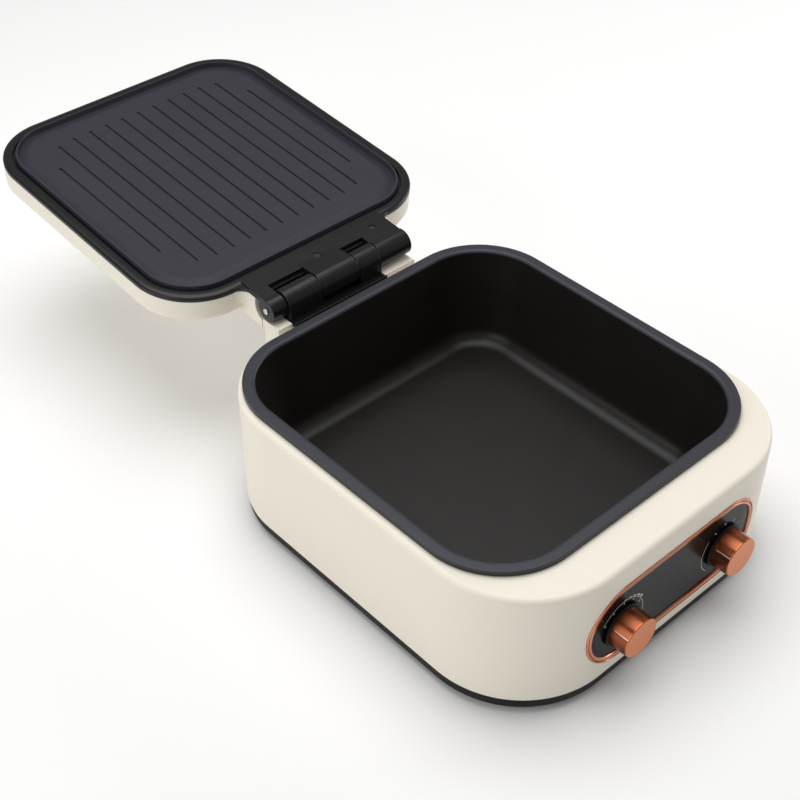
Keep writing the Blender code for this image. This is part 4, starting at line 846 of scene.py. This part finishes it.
rows = []
for step in range(8):
    angle = step * math.pi / 2 / 7
    inset = 0.0045 * (1 - math.cos(angle))
    rows.append((LID.inset(inset), LID_BASE + 0.002 * (1 - math.sin(angle))))
rows += [(LID.inset(inset), height) for inset, height in (
    (0.0071, LID_BASE), (0.0075, LID_BASE + 0.0002), (0.0077, LID_BASE + 0.0006),
    (0.0078, LID_BASE + 0.0022), (0.0095, LID_BASE + 0.0024), (0.0095, PLATE_SEAT),
    (0.0145, PLATE_SEAT), (0.0145, PLATE_SEAT + 0.002), (0.0055, PLATE_SEAT + 0.002),
    (0.0055, LINER_BACK),
)]
rows += [(LID, LINER_BACK)]
liner = make_piece(loft(rows, 28, closed=True), "lid_flange", hinge_plastic)
tab_low = (HINGE_LEFT, LID_EDGE - 0.00475, LID_BASE)
join(liner, block(tab_low, (HINGE_RIGHT, HINGE_Y, LINER_BACK)))
ramp_foot = HINGE_Z - math.sqrt(BLOCK_RADIUS**2 - RAMP_END**2)
side = [(HINGE_Y - 0.0185, LID_BASE), (HINGE_Y - RAMP_END, ramp_foot)]
side += [(HINGE_Y - RAMP_END, LID_BASE + 0.002)]
join(liner, pull_across(LEFT_END + FIT, RIGHT_START - FIT, side))
for start, end, radius in (
    (HINGE_LEFT, LEFT_START, 0.009),
    (LEFT_END, RIGHT_START, BLOCK_RADIUS),
    (RIGHT_END, HINGE_RIGHT, 0.010),
):
    join(liner, soften(along_pin(start, end, radius), KNUCKLE_ROUND))
# Painted shade: each slot keeps a thin black floor, and a curved black apron runs round the base's
# knuckle under it. Both are dark stand-ins for the shadow in the slot.
for start, end in ((LEFT_START, LEFT_END), (RIGHT_START, RIGHT_END)):
    start, end = start - SLOT_MARGIN, end + SLOT_MARGIN
    for reach, top in (
        (SLOT_REACH, LINER_BACK - 0.0008), (BLOCK_RADIUS + 0.0008, LINER_BACK + 0.001),
    ):
        cut(liner, block((start, HINGE_Y - reach, SLOT_FOOT), (end, HINGE_Y + 0.002, top)))
    inner, outer = SHADE_APRON_RADII
    turns = [math.radians(8 * step) for step in range(7)]
    shade_apron = [(-inner, LINER_BACK - 0.0005 - HINGE_Z), (-outer, LINER_BACK - 0.0005 - HINGE_Z)]
    shade_apron += [(-outer * math.cos(turn), outer * math.sin(turn)) for turn in turns]
    shade_apron += [(-inner * math.cos(turn), inner * math.sin(turn)) for turn in reversed(turns)]
    side = [(HINGE_Y + y, HINGE_Z + z) for y, z in shade_apron]
    join(liner, pull_across(start - SLOT_MARGIN, end + SLOT_MARGIN, side))
cut(liner, along_pin(HINGE_LEFT - 0.002, 0.0413, BORE_RADIUS, 40))
for x in ((LEFT_END + RIGHT_START) / 2, (RIGHT_END + HINGE_RIGHT) / 2):
    cut(liner, upright(x, TAB_SCREW_Y, LID_BASE - 0.002, LINER_BACK + 0.002, 0.0031, 32))
join(liner, *corner_fillets(LID_BASE + 0.0009, LINER_BACK - 0.0002))
liner.data.transform(OPEN_LID)
close_up(liner, "lid", "black_plastic", "lid_liner")
dress(dark_steel, "tab_screw_left", "tab_screw_right")

# Grill plate: cast aluminium under a matte blue-grey coating, a tray with a raised lip, a shallow
# channel inside it and thirteen grooves down its face. It drops into the liner, with the lid's
# element pressed on its back.
grill_coat, shader, place = start_finish("grill_coating", specular_ior_level=0.25)
tone = place.noise(30.0).tint((0.026, 0.0245, 0.034), (0.034, 0.032, 0.044))
tone.feed(shader, "Base Color")
place.noise(300.0).between(0.46, 0.56).feed(shader, "Roughness")
place.noise(2400.0, 1.0).bump(0.25, 0.00007).feed(shader, "Normal")
PLATE = LID.inset(0.0098)
PLATE_LIP = 0.1070
PLATE_FACE = 0.1090
GROOVE_COUNT = 13
GROOVE_ARC = 0.028
GROOVE_SPAN = PLATE.half_x - 0.0228
GROOVE_LENGTH = PLATE.half_y - 0.0270

rows = [(PLATE.inset(inset), height) for inset, height in (
    (0.0120, PLATE_FACE), (0.0095, PLATE_FACE + 0.0003), (0.0055, PLATE_FACE + 0.0016),
    (0.0038, PLATE_FACE + 0.0022), (0.0029, PLATE_FACE + 0.0021), (0.0025, PLATE_FACE + 0.0014),
    (0.0021, PLATE_LIP + 0.0004), (0.0018, PLATE_LIP), (0.0012, PLATE_LIP),
    (0.0004, PLATE_LIP + 0.0004),
)]
rows += [(PLATE, PLATE_LIP + 0.0013), (PLATE, PLATE_BACK)]
tray = make_piece(loft(rows, 28), "grill_tray", grill_coat)
grooves, places = [], []
for number in range(GROOVE_COUNT):
    x = GROOVE_SPAN * (2 * number / (GROOVE_COUNT - 1) - 1)
    past = max(0, abs(x) - GROOVE_SPAN + GROOVE_ARC)
    length = GROOVE_LENGTH - GROOVE_ARC + math.sqrt(GROOVE_ARC**2 - past**2)
    mouth = Outline(0.0015, length, 0.00145, POT_Y)
    rows = [(mouth, PLATE_FACE - 0.0004), (mouth.inset(0.0004), PLATE_FACE + 0.0003)]
    rows += [(mouth.inset(0.0007), PLATE_FACE + 0.0013)]
    grooves.append(loft(rows, 5))
    places.append(x)
cut(tray, row_of(grooves, places))
tray.data.transform(OPEN_LID)
close_up(tray, "lid", "grill_coating", "grill_plate")
dress(steel, "lid_element", "lid_heat_shield")
dress(cast, "lid_thermostat")

# Floor: a plain pale sheet that the feet stand on. It isn't part of the pot.
bm = bmesh.new()
bmesh.ops.create_grid(bm, x_segments=1, y_segments=1, size=6)
floor_finish, shader, place = start_finish("floor", roughness=0.85)
place.noise(3.0).tint((0.93, 0.93, 0.93), (0.96, 0.96, 0.96)).feed(shader, "Base Color")
make_piece(bm, "floor", floor_finish)
